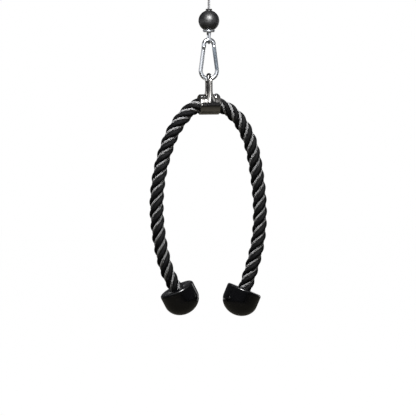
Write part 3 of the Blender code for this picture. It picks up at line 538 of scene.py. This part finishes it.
def even_line(points, spacing):
    """Evenly spaced points on one smooth curve through the given ones, as an array."""
    knots = [Vector(p) for p in points]
    padded = [knots[0] * 2 - knots[1]] + knots + [knots[-1] * 2 - knots[-2]]
    steps = 24
    dense = []
    for i in range(len(knots) - 1):
        p0, p1, p2, p3 = padded[i:i + 4]
        for k in range(steps):
            t = k / steps
            dense.append(0.5 * ((2 * p1) + (p2 - p0) * t
                                + (2 * p0 - 5 * p1 + 4 * p2 - p3) * t ** 2
                                + (3 * p1 - p0 - 3 * p2 + p3) * t ** 3))
    dense.append(knots[-1])
    line = np.array([tuple(p) for p in dense])
    run = distance_along(line)
    count = max(2, round(run[-1] / spacing))
    stations = np.linspace(0, run[-1], count + 1)
    return np.stack([np.interp(stations, run, line[:, i]) for i in range(3)], axis=1)


def rope_line():
    """The whole rope's centre line, from inside the left knob to inside the right one."""
    halves = []
    for side, route, knob, tilt in ((-1, LEFT_ROUTE, LEFT_KNOB, LEFT_TILT),
                                    (1, RIGHT_ROUTE, RIGHT_KNOB, RIGHT_TILT)):
        pivot_z = -ROPE_DIP * (PIVOT_X - ROPE_STRAIGHT) ** 2
        slope = 2 * ROPE_DIP * (PIVOT_X - ROPE_STRAIGHT)
        lead = Vector((side, 0, -slope)).normalized() * LEAD
        inside = Vector((knob[0], 0, knob[1]))
        inside += Vector((-math.sin(tilt), 0, -math.cos(tilt))) * ROPE_IN_KNOB
        bore = []
        for i in range(1, 8):
            x = PIVOT_X * i / 8
            bore.append((side * x, 0, -ROPE_DIP * max(0, x - ROPE_STRAIGHT) ** 2))
        leg = [(side * PIVOT_X, 0, pivot_z), (side * PIVOT_X + lead.x, 0, pivot_z + lead.z)]
        leg += [(x, 0, z) for x, z in route] + [(knob[0], 0, knob[1]), tuple(inside)]
        halves.append(bore + leg)
    left, right = halves
    return even_line(list(reversed(left)) + [(0, 0, 0)] + right, 0.0014) + np.array(BARREL)


def along_line(line):
    """Distance, direction and two side directions at each point of a line in the XZ plane."""
    run = distance_along(line)
    ahead = np.gradient(line, run, axis=0)
    ahead /= np.linalg.norm(ahead, axis=1, keepdims=True)
    away = np.tile([0.0, 1.0, 0.0], (len(line), 1))
    return run, ahead, np.cross(away, ahead), away


def laid_strand(line, turns, out, radius, sides, ridge=0, ridges=0, lean=0, stretch=1):
    """One strand's points, faces and map, wound round a line at a distance out from it.

    turns is its angle round the line at each point. ridges are its yarns, ridge high,
    which wind back round it by lean times that angle; stretch widens it round the line.
    """
    crowding = 0.35     # how far its points gather on the side that shows
    map_scale = 10      # map lengths along it per metre
    run, _, side, away = along_line(line)
    cos, sin = np.cos(turns)[:, None], np.sin(turns)[:, None]
    outward = cos * side + sin * away
    middle = line + out * outward
    heading = np.gradient(middle, run, axis=0)
    heading /= np.linalg.norm(heading, axis=1, keepdims=True)
    across = np.cross(heading, outward)
    across /= np.linalg.norm(across, axis=1, keepdims=True)
    even = np.linspace(0, 2 * math.pi, sides, endpoint=False)
    round_it = even - crowding * np.sin(even)
    rows = []
    maps = []
    length = distance_along(middle) * map_scale
    for i in range(len(line)):
        wound = round_it + lean * turns[i]
        size = radius - ridge * np.abs(np.cos(wound * ridges / 2)) ** 3
        rows.append(middle[i] + (size * np.cos(round_it))[:, None] * outward[i]
                    + (size * stretch * np.sin(round_it))[:, None] * across[i])
        maps.append(wound / (2 * math.pi))
    points = np.concatenate(rows)
    faces = []
    coords = []
    for i in range(len(line) - 1):
        for k in range(sides):
            n = (k + 1) % sides
            seam = 1 if n == 0 else 0
            faces.append((i * sides + k, i * sides + n, (i + 1) * sides + n, (i + 1) * sides + k))
            coords += [(maps[i][k], length[i]), (maps[i][n] + seam, length[i]),
                       (maps[i + 1][n] + seam, length[i + 1]), (maps[i + 1][k], length[i + 1])]
    end = (len(line) - 1) * sides
    faces += [tuple(reversed(range(sides))), tuple(range(end, end + sides))]
    coords += [(0.5, 0)] * (2 * sides)
    return points, faces, coords


def make_laid(name, line, turns, *kinds):
    """A laid rope in one mesh.

    Each kind of strand, which has its own material, is a count, the first one's
    angle ahead of turns, and its settings.
    """
    points, faces, coords, slots = [], [], [], []
    start = 0
    for kind, (count, shift, settings) in enumerate(kinds):
        for i in range(count):
            made = laid_strand(line, turns + shift + 2 * math.pi * i / count, **settings)
            points.append(made[0])
            faces += [tuple(corner + start for corner in face) for face in made[1]]
            coords += made[2]
            slots += [kind] * len(made[1])
            start += len(made[0])
    mesh = bpy.data.meshes.new(name)
    mesh.from_pydata([tuple(p) for p in np.concatenate(points)], [], faces)
    mesh.polygons.foreach_set("material_index", slots)
    layer = mesh.uv_layers.new(name="lay")
    layer.data.foreach_set("uv", [value for pair in coords for value in pair])
    mesh.update()
    made = bpy.data.objects.new(name, mesh)
    bpy.context.collection.objects.link(made)
    open_mesh(made)
    bpy.ops.mesh.select_all(action="SELECT")
    bpy.ops.mesh.normals_make_consistent(inside=False)
    close_mesh()
    take(made)
    bpy.ops.object.shade_smooth_by_angle(angle=math.radians(70))
    return made


def make_rope():
    """The rope's two legs and the short run in the barrel, all wound on one line."""
    line = rope_line()
    run = along_line(line)[0]
    middle = int(np.argmin(np.abs(line[:, 0]) + np.abs(line[:, 2] - BARREL.z)))
    along = run - run[middle]
    turns = 2 * math.pi * along / ROPE_LAY
    turns += np.interp(along, (-MIDDLE_HALF, MIDDLE_HALF), ROPE_PHASES)
    strands = (3, 0.0, {"out": 0.00725, "radius": 0.00675, "sides": 64, "ridge": 0.00018,
                        "ridges": 12, "lean": -1.0, "stretch": 0.80})
    tracers = (3, math.pi / 3, {"out": 0.0090, "radius": 0.0028, "sides": 20, "ridge": 0.00002,
                                "ridges": 3, "lean": 2.0})
    near_left = int(np.argmin(np.abs(line[:middle, 0] + MIDDLE_HALF)))
    near_right = middle + int(np.argmin(np.abs(line[middle:, 0] - MIDDLE_HALF)))
    inner = slice(near_left, near_right + 1)
    left = slice(0, near_left + 1)
    right = slice(near_right, len(line))
    made = {}
    for name, part in (("rope_middle", inner), ("rope_left", left), ("rope_right", right)):
        piece = make_laid(name + "_laid", line[part], turns[part], strands, tracers)
        piece.data.materials.append(BLACK_YARN)
        piece.data.materials.append(GREY_YARN)
        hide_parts(name)
        made[name] = piece
    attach(made["rope_middle"], "stirrup")
    for name, body, part, sign in (("rope_left", "left_leg", left, -1),
                                   ("rope_right", "right_leg", right, 1)):
        piece = made[name]
        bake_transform(piece)


def cable_line():
    """The cable's centre line, from its foot up, round the top loop and back into the ferrule."""
    points = [(0, CABLE_FOOT + (FERRULE_FOOT - CABLE_EASE - CABLE_FOOT) * i / 12)
              for i in range(12)]
    points += [(STRAND_X * (1 - math.cos(math.pi * i / 6)) / 2,
                FERRULE_FOOT - CABLE_EASE * (1 - i / 6)) for i in range(7)]
    points += [(STRAND_X, FERRULE_FOOT + (FERRULE_TOP - FERRULE_FOOT) * i / 4) for i in range(1, 4)]
    shares = [1 - i / 8 for i in range(8)]
    half = [(STRAND_X + (LOOP_R - STRAND_X) * (1 + math.cos(math.pi * s)) / 2,
             LOOP_CENTRE_Z - LOOP_TAPER * s) for s in shares]
    top = round_arc((0, LOOP_CENTRE_Z), (LOOP_R, LOOP_R), 0, 180, 16)
    points += half + top + [(-x, z) for x, z in reversed(half)]
    points += [(-STRAND_X, FERRULE_TOP + (FERRULE_FOOT - FERRULE_TOP) * i / 4) for i in range(1, 5)]
    return even_line([(x, 0, z) for x, z in points], 0.0011)


def make_cable():
    """The steel cable: six laid strands round a core."""
    line = cable_line()
    run = along_line(line)[0]
    turns = 2 * math.pi * run / CABLE_LAY
    strands = (6, 0.0, {"out": 0.00164, "radius": 0.00082, "sides": 16, "ridge": 0.00005,
                        "ridges": 8, "lean": -2.0, "stretch": 1.08})
    core = (1, 0.0, {"out": 0.00001, "radius": 0.0010, "sides": 10})
    cable = make_laid("cable_laid", line, turns, strands, core)
    cable.data.materials.append(CABLE_STEEL)
    cable.data.materials.append(INNER_STEEL)
    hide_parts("cable")
    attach(cable, "root")


def make_camera():
    """The photograph's view: a long lens, a little to the left and above."""
    data = bpy.data.cameras.new("view")
    data.lens = 200
    data.clip_start = 0.05
    data.clip_end = 50
    made = bpy.data.objects.new("view", data)
    bpy.context.collection.objects.link(made)
    back = Vector((math.sin(VIEW_AZIMUTH) * math.cos(VIEW_ELEVATION),
                   -math.cos(VIEW_AZIMUTH) * math.cos(VIEW_ELEVATION), math.sin(VIEW_ELEVATION)))
    made.location = VIEW_TARGET + back * VIEW_DISTANCE
    made.rotation_euler = (-back).to_track_quat("-Z", "Y").to_euler()
    bpy.context.scene.camera = made


def make_softbox(name, place, aim, size, power, diffuse=True, glossy=True):
    """A rectangular soft light, which may be kept out of one kind of ray."""
    data = bpy.data.lights.new(name, "AREA")
    data.shape = "RECTANGLE"
    data.size, data.size_y = size
    data.energy = power
    made = bpy.data.objects.new(name, data)
    bpy.context.collection.objects.link(made)
    made.location = place
    made.rotation_euler = (Vector(aim) - Vector(place)).to_track_quat("-Z", "Y").to_euler()
    made.visible_camera = False
    made.visible_diffuse = diffuse
    made.visible_glossy = glossy


def seen_directly(tree, place):
    """1 for what the camera sees itself, in a reflection or through glass."""
    path = add_node(tree, "ShaderNodeLightPath", place)
    most = add_node(tree, "ShaderNodeMath", (place[0] + 200, place[1]), operation="MAXIMUM")
    also = add_node(tree, "ShaderNodeMath", (place[0] + 400, place[1]), operation="MAXIMUM")
    tree.links.new(path.outputs["Is Camera Ray"], most.inputs[0])
    tree.links.new(path.outputs["Is Glossy Ray"], most.inputs[1])
    tree.links.new(most.outputs[0], also.inputs[0])
    tree.links.new(path.outputs["Is Transmission Ray"], also.inputs[1])
    return path, also.outputs[0]


def make_surround():
    """A white studio; reflections see a dim room with a white backdrop and a grey ceiling."""
    world = bpy.data.worlds.new("studio")
    bpy.context.scene.world = world
    world.use_nodes = True
    tree = world.node_tree
    tree.nodes.clear()
    path, seen = seen_directly(tree, (-900, 500))
    place = add_node(tree, "ShaderNodeTexCoord", (-1500, 0))
    room = ROOM_COLOUR
    backdrop = ((0.216, 0.976, 0.0), 0.965, 0.985, (1.0, 1.0, 1.0))
    ceiling = ((0.0, 0.0, 1.0), 0.55, 0.95, (0.25, 0.25, 0.25))
    for number, (aim, outer, inner, colour) in enumerate((backdrop, ceiling)):
        level = -250 * number
        toward = add_node(tree, "ShaderNodeVectorMath", (-1300, level), operation="DOT_PRODUCT")
        toward.inputs[1].default_value = Vector(aim).normalized()
        edge = add_node(tree, "ShaderNodeMapRange", (-1100, level),
                        interpolation_type="SMOOTHSTEP", From_Min=outer, From_Max=inner)
        tree.links.new(place.outputs["Generated"], toward.inputs[0])
        tree.links.new(toward.outputs["Value"], edge.inputs["Value"])
        room = mix_colours(tree, edge.outputs["Result"], room, colour,
                           (-800 + 150 * number, level))
    shown = mix_colours(tree, path.outputs["Is Glossy Ray"], (1.0, 1.0, 1.0), room, (250, 100))
    fill = mix_colours(tree, seen, (0.03, 0.03, 0.031), shown, (450, 200))
    light = add_node(tree, "ShaderNodeBackground", (650, 200), Strength=1.0)
    out = add_node(tree, "ShaderNodeOutputWorld", (850, 200))
    tree.links.new(fill, light.inputs["Color"])
    tree.links.new(light.outputs["Background"], out.inputs["Surface"])


def make_floor():
    """A plain pale floor well below the hanging rope."""
    bpy.ops.mesh.primitive_plane_add(size=14, location=(0, 1.5, -1.35))
    floor = bpy.context.object
    bpy.ops.object.transform_apply(location=True, rotation=True, scale=True)
    floor.name = "floor"
    paint, tree, shader = new_finish("pale_floor", Roughness=0.9, Metallic=0.0)
    shader.inputs["Base Color"].default_value = (0.86, 0.86, 0.86, 1)
    seen = seen_directly(tree, (-700, 400))[1]
    share = add_node(tree, "ShaderNodeMath", (-100, 400), operation="MULTIPLY")
    share.inputs[1].default_value = 0.94
    glow = add_node(tree, "ShaderNodeEmission", (0, -200), Strength=1.06)
    glow.inputs["Color"].default_value = (1, 1, 1, 1)
    mixer = add_node(tree, "ShaderNodeMixShader", (300, 300))
    out = tree.nodes["Material Output"]
    tree.links.new(seen, share.inputs[0])
    tree.links.new(share.outputs[0], mixer.inputs[0])
    tree.links.new(shader.outputs["BSDF"], mixer.inputs[1])
    tree.links.new(glow.outputs["Emission"], mixer.inputs[2])
    tree.links.new(mixer.outputs["Shader"], out.inputs["Surface"])
    floor.data.materials.append(paint)


def make_low_card():
    """A dim card below the rope, as a studio floor in shade; the camera doesn't see it."""
    bpy.ops.mesh.primitive_plane_add(size=8, location=(0, -1.4, -1.0))
    card = bpy.context.object
    bpy.ops.object.transform_apply(location=True, rotation=True, scale=True)
    card.name = "low_card"
    paint, _, shader = new_finish("dim_card", Roughness=1.0, Metallic=0.0)
    shader.inputs["Base Color"].default_value = (0.13, 0.12, 0.095, 1)
    card.data.materials.append(paint)
    card.visible_camera = False
    card.visible_shadow = False
    card.visible_transmission = False


def light_studio():
    """Soft lights for the colours, which reflections don't see, and cards that only they see.

    Each is a name, a place, what it aims at, its two sides and its power.
    """
    for lamp in (
            ("overhead", (-0.15, -0.62, 0.90), AIM, (0.9, 0.5), 28),
            ("tall_left", (-1.25, 0.05, -0.20), AIM, (0.5, 1.3), 1.9),
            ("tall_right", (1.25, 0.05, -0.20), AIM, (0.5, 1.3), 1.9),
            ("back", (0.25, 1.3, 0.35), AIM, (1.2, 0.9), 15)):
        make_softbox(*lamp, glossy=False)
    for card in (
            ("key_card", (-0.21, -1.08, 0.69), (-0.21, 0, -0.30), (1.02, 1.0), 16),
            ("key_core", (-0.15, -1.06, 0.67), (-0.15, 0, -0.30), (0.6, 0.44), 48),
            ("left_card", (-0.305, -0.397, -0.125), (0, 0, -0.135), (0.70, 0.22), 0.60),
            ("front_card", (0.004, -0.5, -0.275), (0.004, 0, -0.265), (0.125, 0.070), 0.20),
            ("side_card", (-0.49, 0.10, -0.14), (0, 0, -0.16), (0.40, 0.24), 0.24),
            ("right_card", (0.386, -0.318, -0.12), (0, 0, -0.16), (0.42, 0.22), 0.24),
            ("strip_right", (1.23, 0.84, -0.45), (0, 0, -0.45), (0.25, 1.4), 1.7)):
        make_softbox(*card, diffuse=False)


def make_ball():
    """The stop ball with its mould line, and the sleeve whose flange shows above it."""
    crown = math.degrees(math.asin(BALL_CROWN / BALL_R))
    foot = -math.degrees(math.asin(BALL_FOOT / BALL_R))
    size = (BALL_R, BALL_R)
    mould_line = 0.7
    bore_r = 0.0046
    outline = round_arc((0, 0), size, crown, mould_line, 36) + [(BALL_R - 0.0001, 0)]
    outline += round_arc((0, 0), size, -mould_line, foot, 30)
    ball = grow(outline + [(bore_r, -BALL_FOOT), (bore_r, BALL_CROWN)], sides=96, closed=True)
    settle(ball, (0, 0, BALL_Z))
    finish_piece(ball, "ball_moulded", BALL_RUBBER, "ball", "ball_rubber", "stop_ball")

    seat = BALL_CROWN + GAP
    top = seat + 0.0034
    outline = [(CABLE_HOLE_R, top), (0.0050, top), (0.0058, top - 0.0002), (0.00625, top - 0.0007),
               (0.0060, top - 0.0013), (0.00565, top - 0.0017), (0.0060, seat + 0.0013),
               (0.00625, seat + 0.0006), (0.00625, seat), (0.0043, seat), (0.0043, -BALL_FOOT),
               (CABLE_HOLE_R, -BALL_FOOT)]
    sleeve = grow(outline, sides=64, closed=True)
    soften(sleeve, 0.00015, 2, 25)
    settle(sleeve, (0, 0, BALL_Z))
    finish_piece(sleeve, "sleeve_moulded", SLEEVE_PLASTIC, "ball", "sleeve_plastic", "ball_sleeve")


def start_wire(radius, place, heading, sides=40):
    """Begin a round bar: a circle across its heading, picked and ready to be drawn out."""
    turn = Vector(heading).to_track_quat("Z", "Y").to_euler()
    bpy.ops.mesh.primitive_circle_add(vertices=sides, radius=radius, location=place, rotation=turn)
    made = bpy.context.object
    bpy.ops.object.transform_apply(location=True, rotation=True, scale=True)
    open_mesh(made)
    bpy.ops.mesh.select_all(action="SELECT")
    return made


def draw_out(step, size=1.0, centre=(0, 0, 0)):
    """Extrude what is picked by a step, and scale its new end about a point."""
    bpy.ops.mesh.extrude_region_move(TRANSFORM_OT_translate={"value": tuple(step)})
    if size != 1.0:
        bpy.ops.transform.resize(value=(size, size, size), center_override=tuple(centre))


def close_wire():
    """Fill a bar's two ends and turn its faces outwards."""
    bpy.ops.mesh.select_all(action="SELECT")
    bpy.ops.mesh.remove_doubles(threshold=0.00001)
    bpy.ops.mesh.fill_holes(sides=0)
    bpy.ops.mesh.select_all(action="SELECT")
    bpy.ops.mesh.normals_make_consistent(inside=False)
    close_mesh()


def make_eye():
    """The disc under the ball, with a wire eye welded below it, and the cable's pressed end."""
    middle = (DISC_TOP + DISC_FOOT) / 2
    half = (DISC_TOP - DISC_FOOT) / 2
    rim_z = 0.0005
    outline = [(CABLE_HOLE_R, half), (0.0085, half), (0.0098, half)]
    outline += round_arc((0.0104, rim_z), (0.0014, half - rim_z), 90, 0, 8)
    outline += round_arc((0.0098, rim_z), (0.0020, half + rim_z), 0, -90, 10)
    outline += [(CABLE_HOLE_R, -half)]
    disc = settle(grow(outline, sides=96, closed=True), (0, 0, middle))
    leg = 0.007
    wire_r = 0.002
    eye = start_wire(wire_r, (0, -leg, middle), (0, 0, -1), 28)
    draw_out((0, 0, EYE_Z + leg - middle))
    bpy.ops.mesh.spin(steps=24, angle=SPIN_SIGN * math.pi, center=(0, 0, EYE_Z + leg),
                      axis=(1, 0, 0))
    draw_out((0, 0, middle - EYE_Z - leg))
    close_wire()
    beads = []
    for y in (-leg, leg):
        bead = grow([(0.0034, 0.0002), (0.0033, -0.0004), (0.0027, -0.0009), (0.0020, -0.0018)],
                    sides=32)
        open_mesh(bead)
        close_wire()
        beads.append(settle(bead, (0, y, DISC_FOOT)))
    made = gather("disc_and_eye", disc, eye, *beads)
    finish_piece(made, "disc_and_eye", BRIGHT_ZINC, "eye", "bright_steel", "cable_eye")

    top, foot = DISC_FOOT - GAP, CABLE_FOOT
    outline = [(CABLE_HOLE_R, top), (0.0039, top), (0.00425, top - 0.0004),
               (0.00425, foot + 0.0012), (0.0038, foot + 0.0003), (0.0034, foot),
               (CABLE_HOLE_R, foot)]
    press = grow(outline, sides=48, closed=True)
    finish_piece(press, "stop_ferrule_pressed", GALVANISED, "root", "galvanised", "stop_ferrule")


def hook_point(side, along):
    """A point on the hook's straight side, 1 or -1; along runs down from the narrow bend."""
    x = NARROW_R * math.cos(HOOK_LEAN) + along * math.sin(HOOK_LEAN)
    z = NARROW_Z + NARROW_R * math.sin(HOOK_LEAN) - along * math.cos(HOOK_LEAN)
    return Vector((side * x, 0, z))


def make_hook():
    """The hook's bent wire, drawn round from the gate's shoulder to its nose, with its fittings."""
    lean = HOOK_LEAN
    up = (hook_point(1, 0) - hook_point(1, 1)).normalized()
    down = (hook_point(-1, 1) - hook_point(-1, 0)).normalized()
    edge = 0.0005
    wire = start_wire(HOOK_BEND_R - edge, hook_point(1, SHOULDER_DROP), up, 48)
    draw_out(up * edge, HOOK_BEND_R / (HOOK_BEND_R - edge), hook_point(1, SHOULDER_DROP - edge))
    draw_out(up * (SHOULDER_DROP - edge))
    bpy.ops.mesh.spin(steps=40, angle=SPIN_SIGN * (2 * lean - math.pi), center=(0, 0, NARROW_Z),
                      axis=(0, 1, 0))
    drop = HINGE_DROP + 0.0018
    draw_out(down * drop)
    step = 0.0006
    draw_out(down * step, HOOK_WIRE_R / HOOK_BEND_R, hook_point(-1, drop + step))
    rest = GATE_LINE - drop - step
    for _ in range(6):
        draw_out(down * rest / 6)
    bpy.ops.mesh.spin(steps=52, angle=SPIN_SIGN * -(math.pi + 2 * lean), center=(0, 0, WIDE_Z),
                      axis=(0, 1, 0))
    draw_out(up * 0.00001, (HOOK_WIRE_R - 0.0004) / HOOK_WIRE_R, hook_point(1, GATE_LINE))
    close_wire()

    tilt = (0, -lean, 0)
    sideways = (math.radians(90), 0, 0)
    thick = 0.0030
    bpy.ops.mesh.primitive_cylinder_add(vertices=48, radius=0.0032, depth=thick, rotation=sideways)
    eye = settle(bpy.context.object, turn=sideways)
    neck = make_block((0, 0, 0.0027), (0.0064, thick, 0.0056))
    knuckle = settle(gather("knuckle", eye, neck), HINGE, tilt)

    nose = make_block((0, 0, 0.0023), (0.0054, 0.0026, 0.0118))
    notch = make_block((-0.0012, 0, 0.0045), (0.0054, 0.004, 0.0030))
    carve(nose, notch)
    soften(nose, 0.0003, 2)
    settle(nose, hook_point(1, GATE_LINE), tilt)

    stud_half = HOOK_BEND_R + 0.0005
    dome = round_arc((0, stud_half - 0.0006), (0.0020, 0.0006), 90, 0, 5)
    stud = grow(dome + [(r, -z) for r, z in reversed(dome)], sides=36)
    settle(stud, hook_point(-1, HINGE_DROP), sideways)
    hook = gather("hook_bent", wire, knuckle, nose, stud)
    finish_piece(hook, "hook_bent", BRIGHT_ZINC, "hook", "bright_steel", "hook_body", smooth=35)


def make_gate():
    """The hook's gate, slotted at both ends, and the rivet that it turns on."""
    foot = GAP - GATE_REACH
    outline = round_arc((0, 0), (GATE_R, GATE_R), 90, 0, 12)
    outline += [(GATE_R, -0.012), (GATE_R, foot + 0.0006), (GATE_R - 0.0005, foot), (0, foot)]
    gate = grow(outline, sides=64)
    slots = []
    for wide, low, high in ((0.0036, -0.0038, 0.006), (0.0032, foot - 0.002, foot + 0.0088)):
        slots.append(make_block((0, 0, (low + high) / 2), (0.012, wide, high - low)))
    carve(gate, *slots)
    soften(gate, 0.00025, 2, 45)
    settle(gate, HINGE, (0, -HOOK_LEAN, 0))
    finish_piece(gate, "gate_slotted", BLUE_ZINC, "gate", "bright_steel", "gate", smooth=35)

    seat = GATE_R + GAP
    head = round_arc((0, seat), (0.0024, 0.0008), 90, 0, 7)
    shank_r = 0.0015
    rivet = grow(head + [(shank_r, seat), (shank_r, -seat)]
                 + [(r, -z) for r, z in reversed(head)], sides=40)
    settle(rivet, HINGE, (math.radians(90), 0, 0))
    finish_piece(rivet, "gate_rivet_set", BRIGHT_ZINC, "hook", "bright_steel", "gate_rivet")


def make_stirrup():
    """The casting: a loop of bar whose feet run out over a barrel, cast as one skin, then bored."""
    leg = 0.0155
    bar_r = 0.0039
    top_z = 0.04115
    foot_z = 0.00185
    flare = 0.028
    flare_wide = 0.0145
    count = 14
    sizes = [1 + flare_wide / bar_r * (1 - i / count) ** 2.5 for i in range(count + 1)]
    start = (0, -leg, foot_z)
    loop = start_wire(bar_r, start, (0, 0, 1), 40)
    bpy.ops.transform.resize(value=(sizes[0], 1, 1), center_override=start)
    for before, after in zip(sizes, sizes[1:]):
        draw_out((0, 0, flare / count))
        bpy.ops.transform.resize(value=(after / before, 1, 1), center_override=(0, -leg, 0))
    draw_out((0, 0, top_z - foot_z - flare))
    bpy.ops.mesh.spin(steps=32, angle=SPIN_SIGN * -math.pi, center=(0, 0, top_z), axis=(1, 0, 0))
    draw_out((0, 0, foot_z + flare - top_z))
    for before, after in zip(reversed(sizes), reversed(sizes[:-1])):
        draw_out((0, 0, -flare / count))
        bpy.ops.transform.resize(value=(after / before, 1, 1), center_override=(0, leg, 0))
    close_wire()

    chamfer = 0.0022
    outline = [(0, BARREL_HALF), (BARREL_R - chamfer, BARREL_HALF),
               (BARREL_R, BARREL_HALF - chamfer), (BARREL_R, chamfer - BARREL_HALF),
               (BARREL_R - chamfer, -BARREL_HALF), (0, -BARREL_HALF)]
    barrel = settle(grow(outline, sides=96), turn=(0, math.radians(90), 0))
    boss_top = BARREL_R + 0.0006
    boss = grow([(0, boss_top), (0.0050, boss_top), (0.0054, BORE_R), (0, BORE_R)], sides=48)
    settle(boss, turn=(SCREW_LEAN, 0, 0))
    settle(boss, (SCREW_X, 0, 0))
    casting = weld(barrel, loop, boss)
    apply_step(casting, "REMESH", mode="VOXEL", voxel_size=0.00055, adaptivity=0)
    apply_step(casting, "SMOOTH", factor=0.5, iterations=14)

    mouth_r = 0.01695
    mouth_flare = 0.00255
    lip_r = mouth_r + 0.0007
    mouth_x = BARREL_HALF - 0.0006
    bore = [(0, BARREL_HALF + 0.002), (lip_r, BARREL_HALF + 0.002),
            (lip_r, BARREL_HALF - 0.0001), (mouth_r, mouth_x)]
    for i in range(1, 9):
        share = 1 - i / 8
        bore.append((BORE_R + mouth_flare * share ** 2,
                     ROPE_STRAIGHT + (mouth_x - ROPE_STRAIGHT) * share))
    cutter = grow(bore + [(r, -x) for r, x in reversed(bore)], sides=96)
    settle(cutter, turn=(0, math.radians(90), 0))
    hole_r, hole_top, hole_foot = 0.0028, 0.030, 0.007
    hole = grow([(0, hole_top), (hole_r, hole_top), (hole_r, hole_foot), (0, hole_foot)], sides=32)
    settle(hole, turn=(SCREW_LEAN, 0, 0))
    settle(hole, (SCREW_X, 0, 0))
    carve(casting, cutter, hole)
    settle(casting, BARREL)
    finish_piece(casting, "stirrup_cast", CAST_CHROME, "stirrup", "cast_chrome", "stirrup",
                 smooth=40)

    seat = boss_top + GAP
    socket_r, socket_floor = 0.0019, seat + 0.0009
    shank_r, shank_foot = 0.0025, BORE_R + GAP
    outline = [(0, socket_floor), (socket_r, socket_floor)]
    outline += round_arc((socket_r, seat + 0.0002), (0.0023, 0.0020), 90, 0, 8)
    outline += [(0.0042, seat), (shank_r, seat), (shank_r, shank_foot), (0, shank_foot)]
    screw = grow(outline, sides=48)
    settle(screw, turn=(SCREW_LEAN, 0, 0))
    settle(screw, BARREL + Vector((SCREW_X, 0, 0)))
    finish_piece(screw, "rope_screw_domed", SCREW_STEEL, "stirrup", "bright_steel", "rope_screw")


def make_knobs():
    """The two rubber knobs: a flat face round the rope's neck, a straight side and a full dome."""
    neck_edge = 0.0014
    outline = [(0, CHAMBER_FLOOR), (CHAMBER_R, CHAMBER_FLOOR), (CHAMBER_R, -KNOB_LIP),
               (NECK_R, -KNOB_LIP)]
    outline += round_arc((NECK_R + neck_edge, -neck_edge), (neck_edge, neck_edge), 180, 90, 6)
    outline += round_arc((KNOB_R - KNOB_EDGE, -KNOB_EDGE), (KNOB_EDGE, KNOB_EDGE), 90, 0, 10)
    outline += [(KNOB_R, -0.008), (KNOB_R, -0.013), (KNOB_R, -0.018)]
    outline += round_arc((0, -KNOB_SIDE), (KNOB_R, KNOB_DOME), 0, -90, 40)
    for side, knob, tilt in (("left", LEFT_KNOB, LEFT_TILT), ("right", RIGHT_KNOB, RIGHT_TILT)):
        made = grow(outline, sides=128)
        settle(made, BARREL + Vector((knob[0], 0, knob[1])), (0, tilt, 0))
        finish_piece(made, "knob_" + side, KNOB_RUBBER, side + "_leg", "knob_rubber", "cap_" + side)


def paint_rest():
    """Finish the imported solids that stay: the thimble, its ferrule and the pieces inside others."""
    finishes = {"thimble": GALVANISED, "loop_ferrule": GALVANISED, "latch_pin": BRIGHT_ZINC}
    inner = ["gate_plunger", "gate_spring"]
    inner += ["end_" + kind + side for kind in ("band", "washer", "screw")
              for side in ("_left", "_right")]
    for name in list(finishes) + inner:
        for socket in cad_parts[name].material_slots:
            socket.material = finishes.get(name, INNER_STEEL)


make_camera()
make_surround()
make_floor()
make_low_card()
light_studio()
make_rope()
make_cable()
make_ball()
make_eye()
make_hook()
make_gate()
make_stirrup()
make_knobs()
paint_rest()
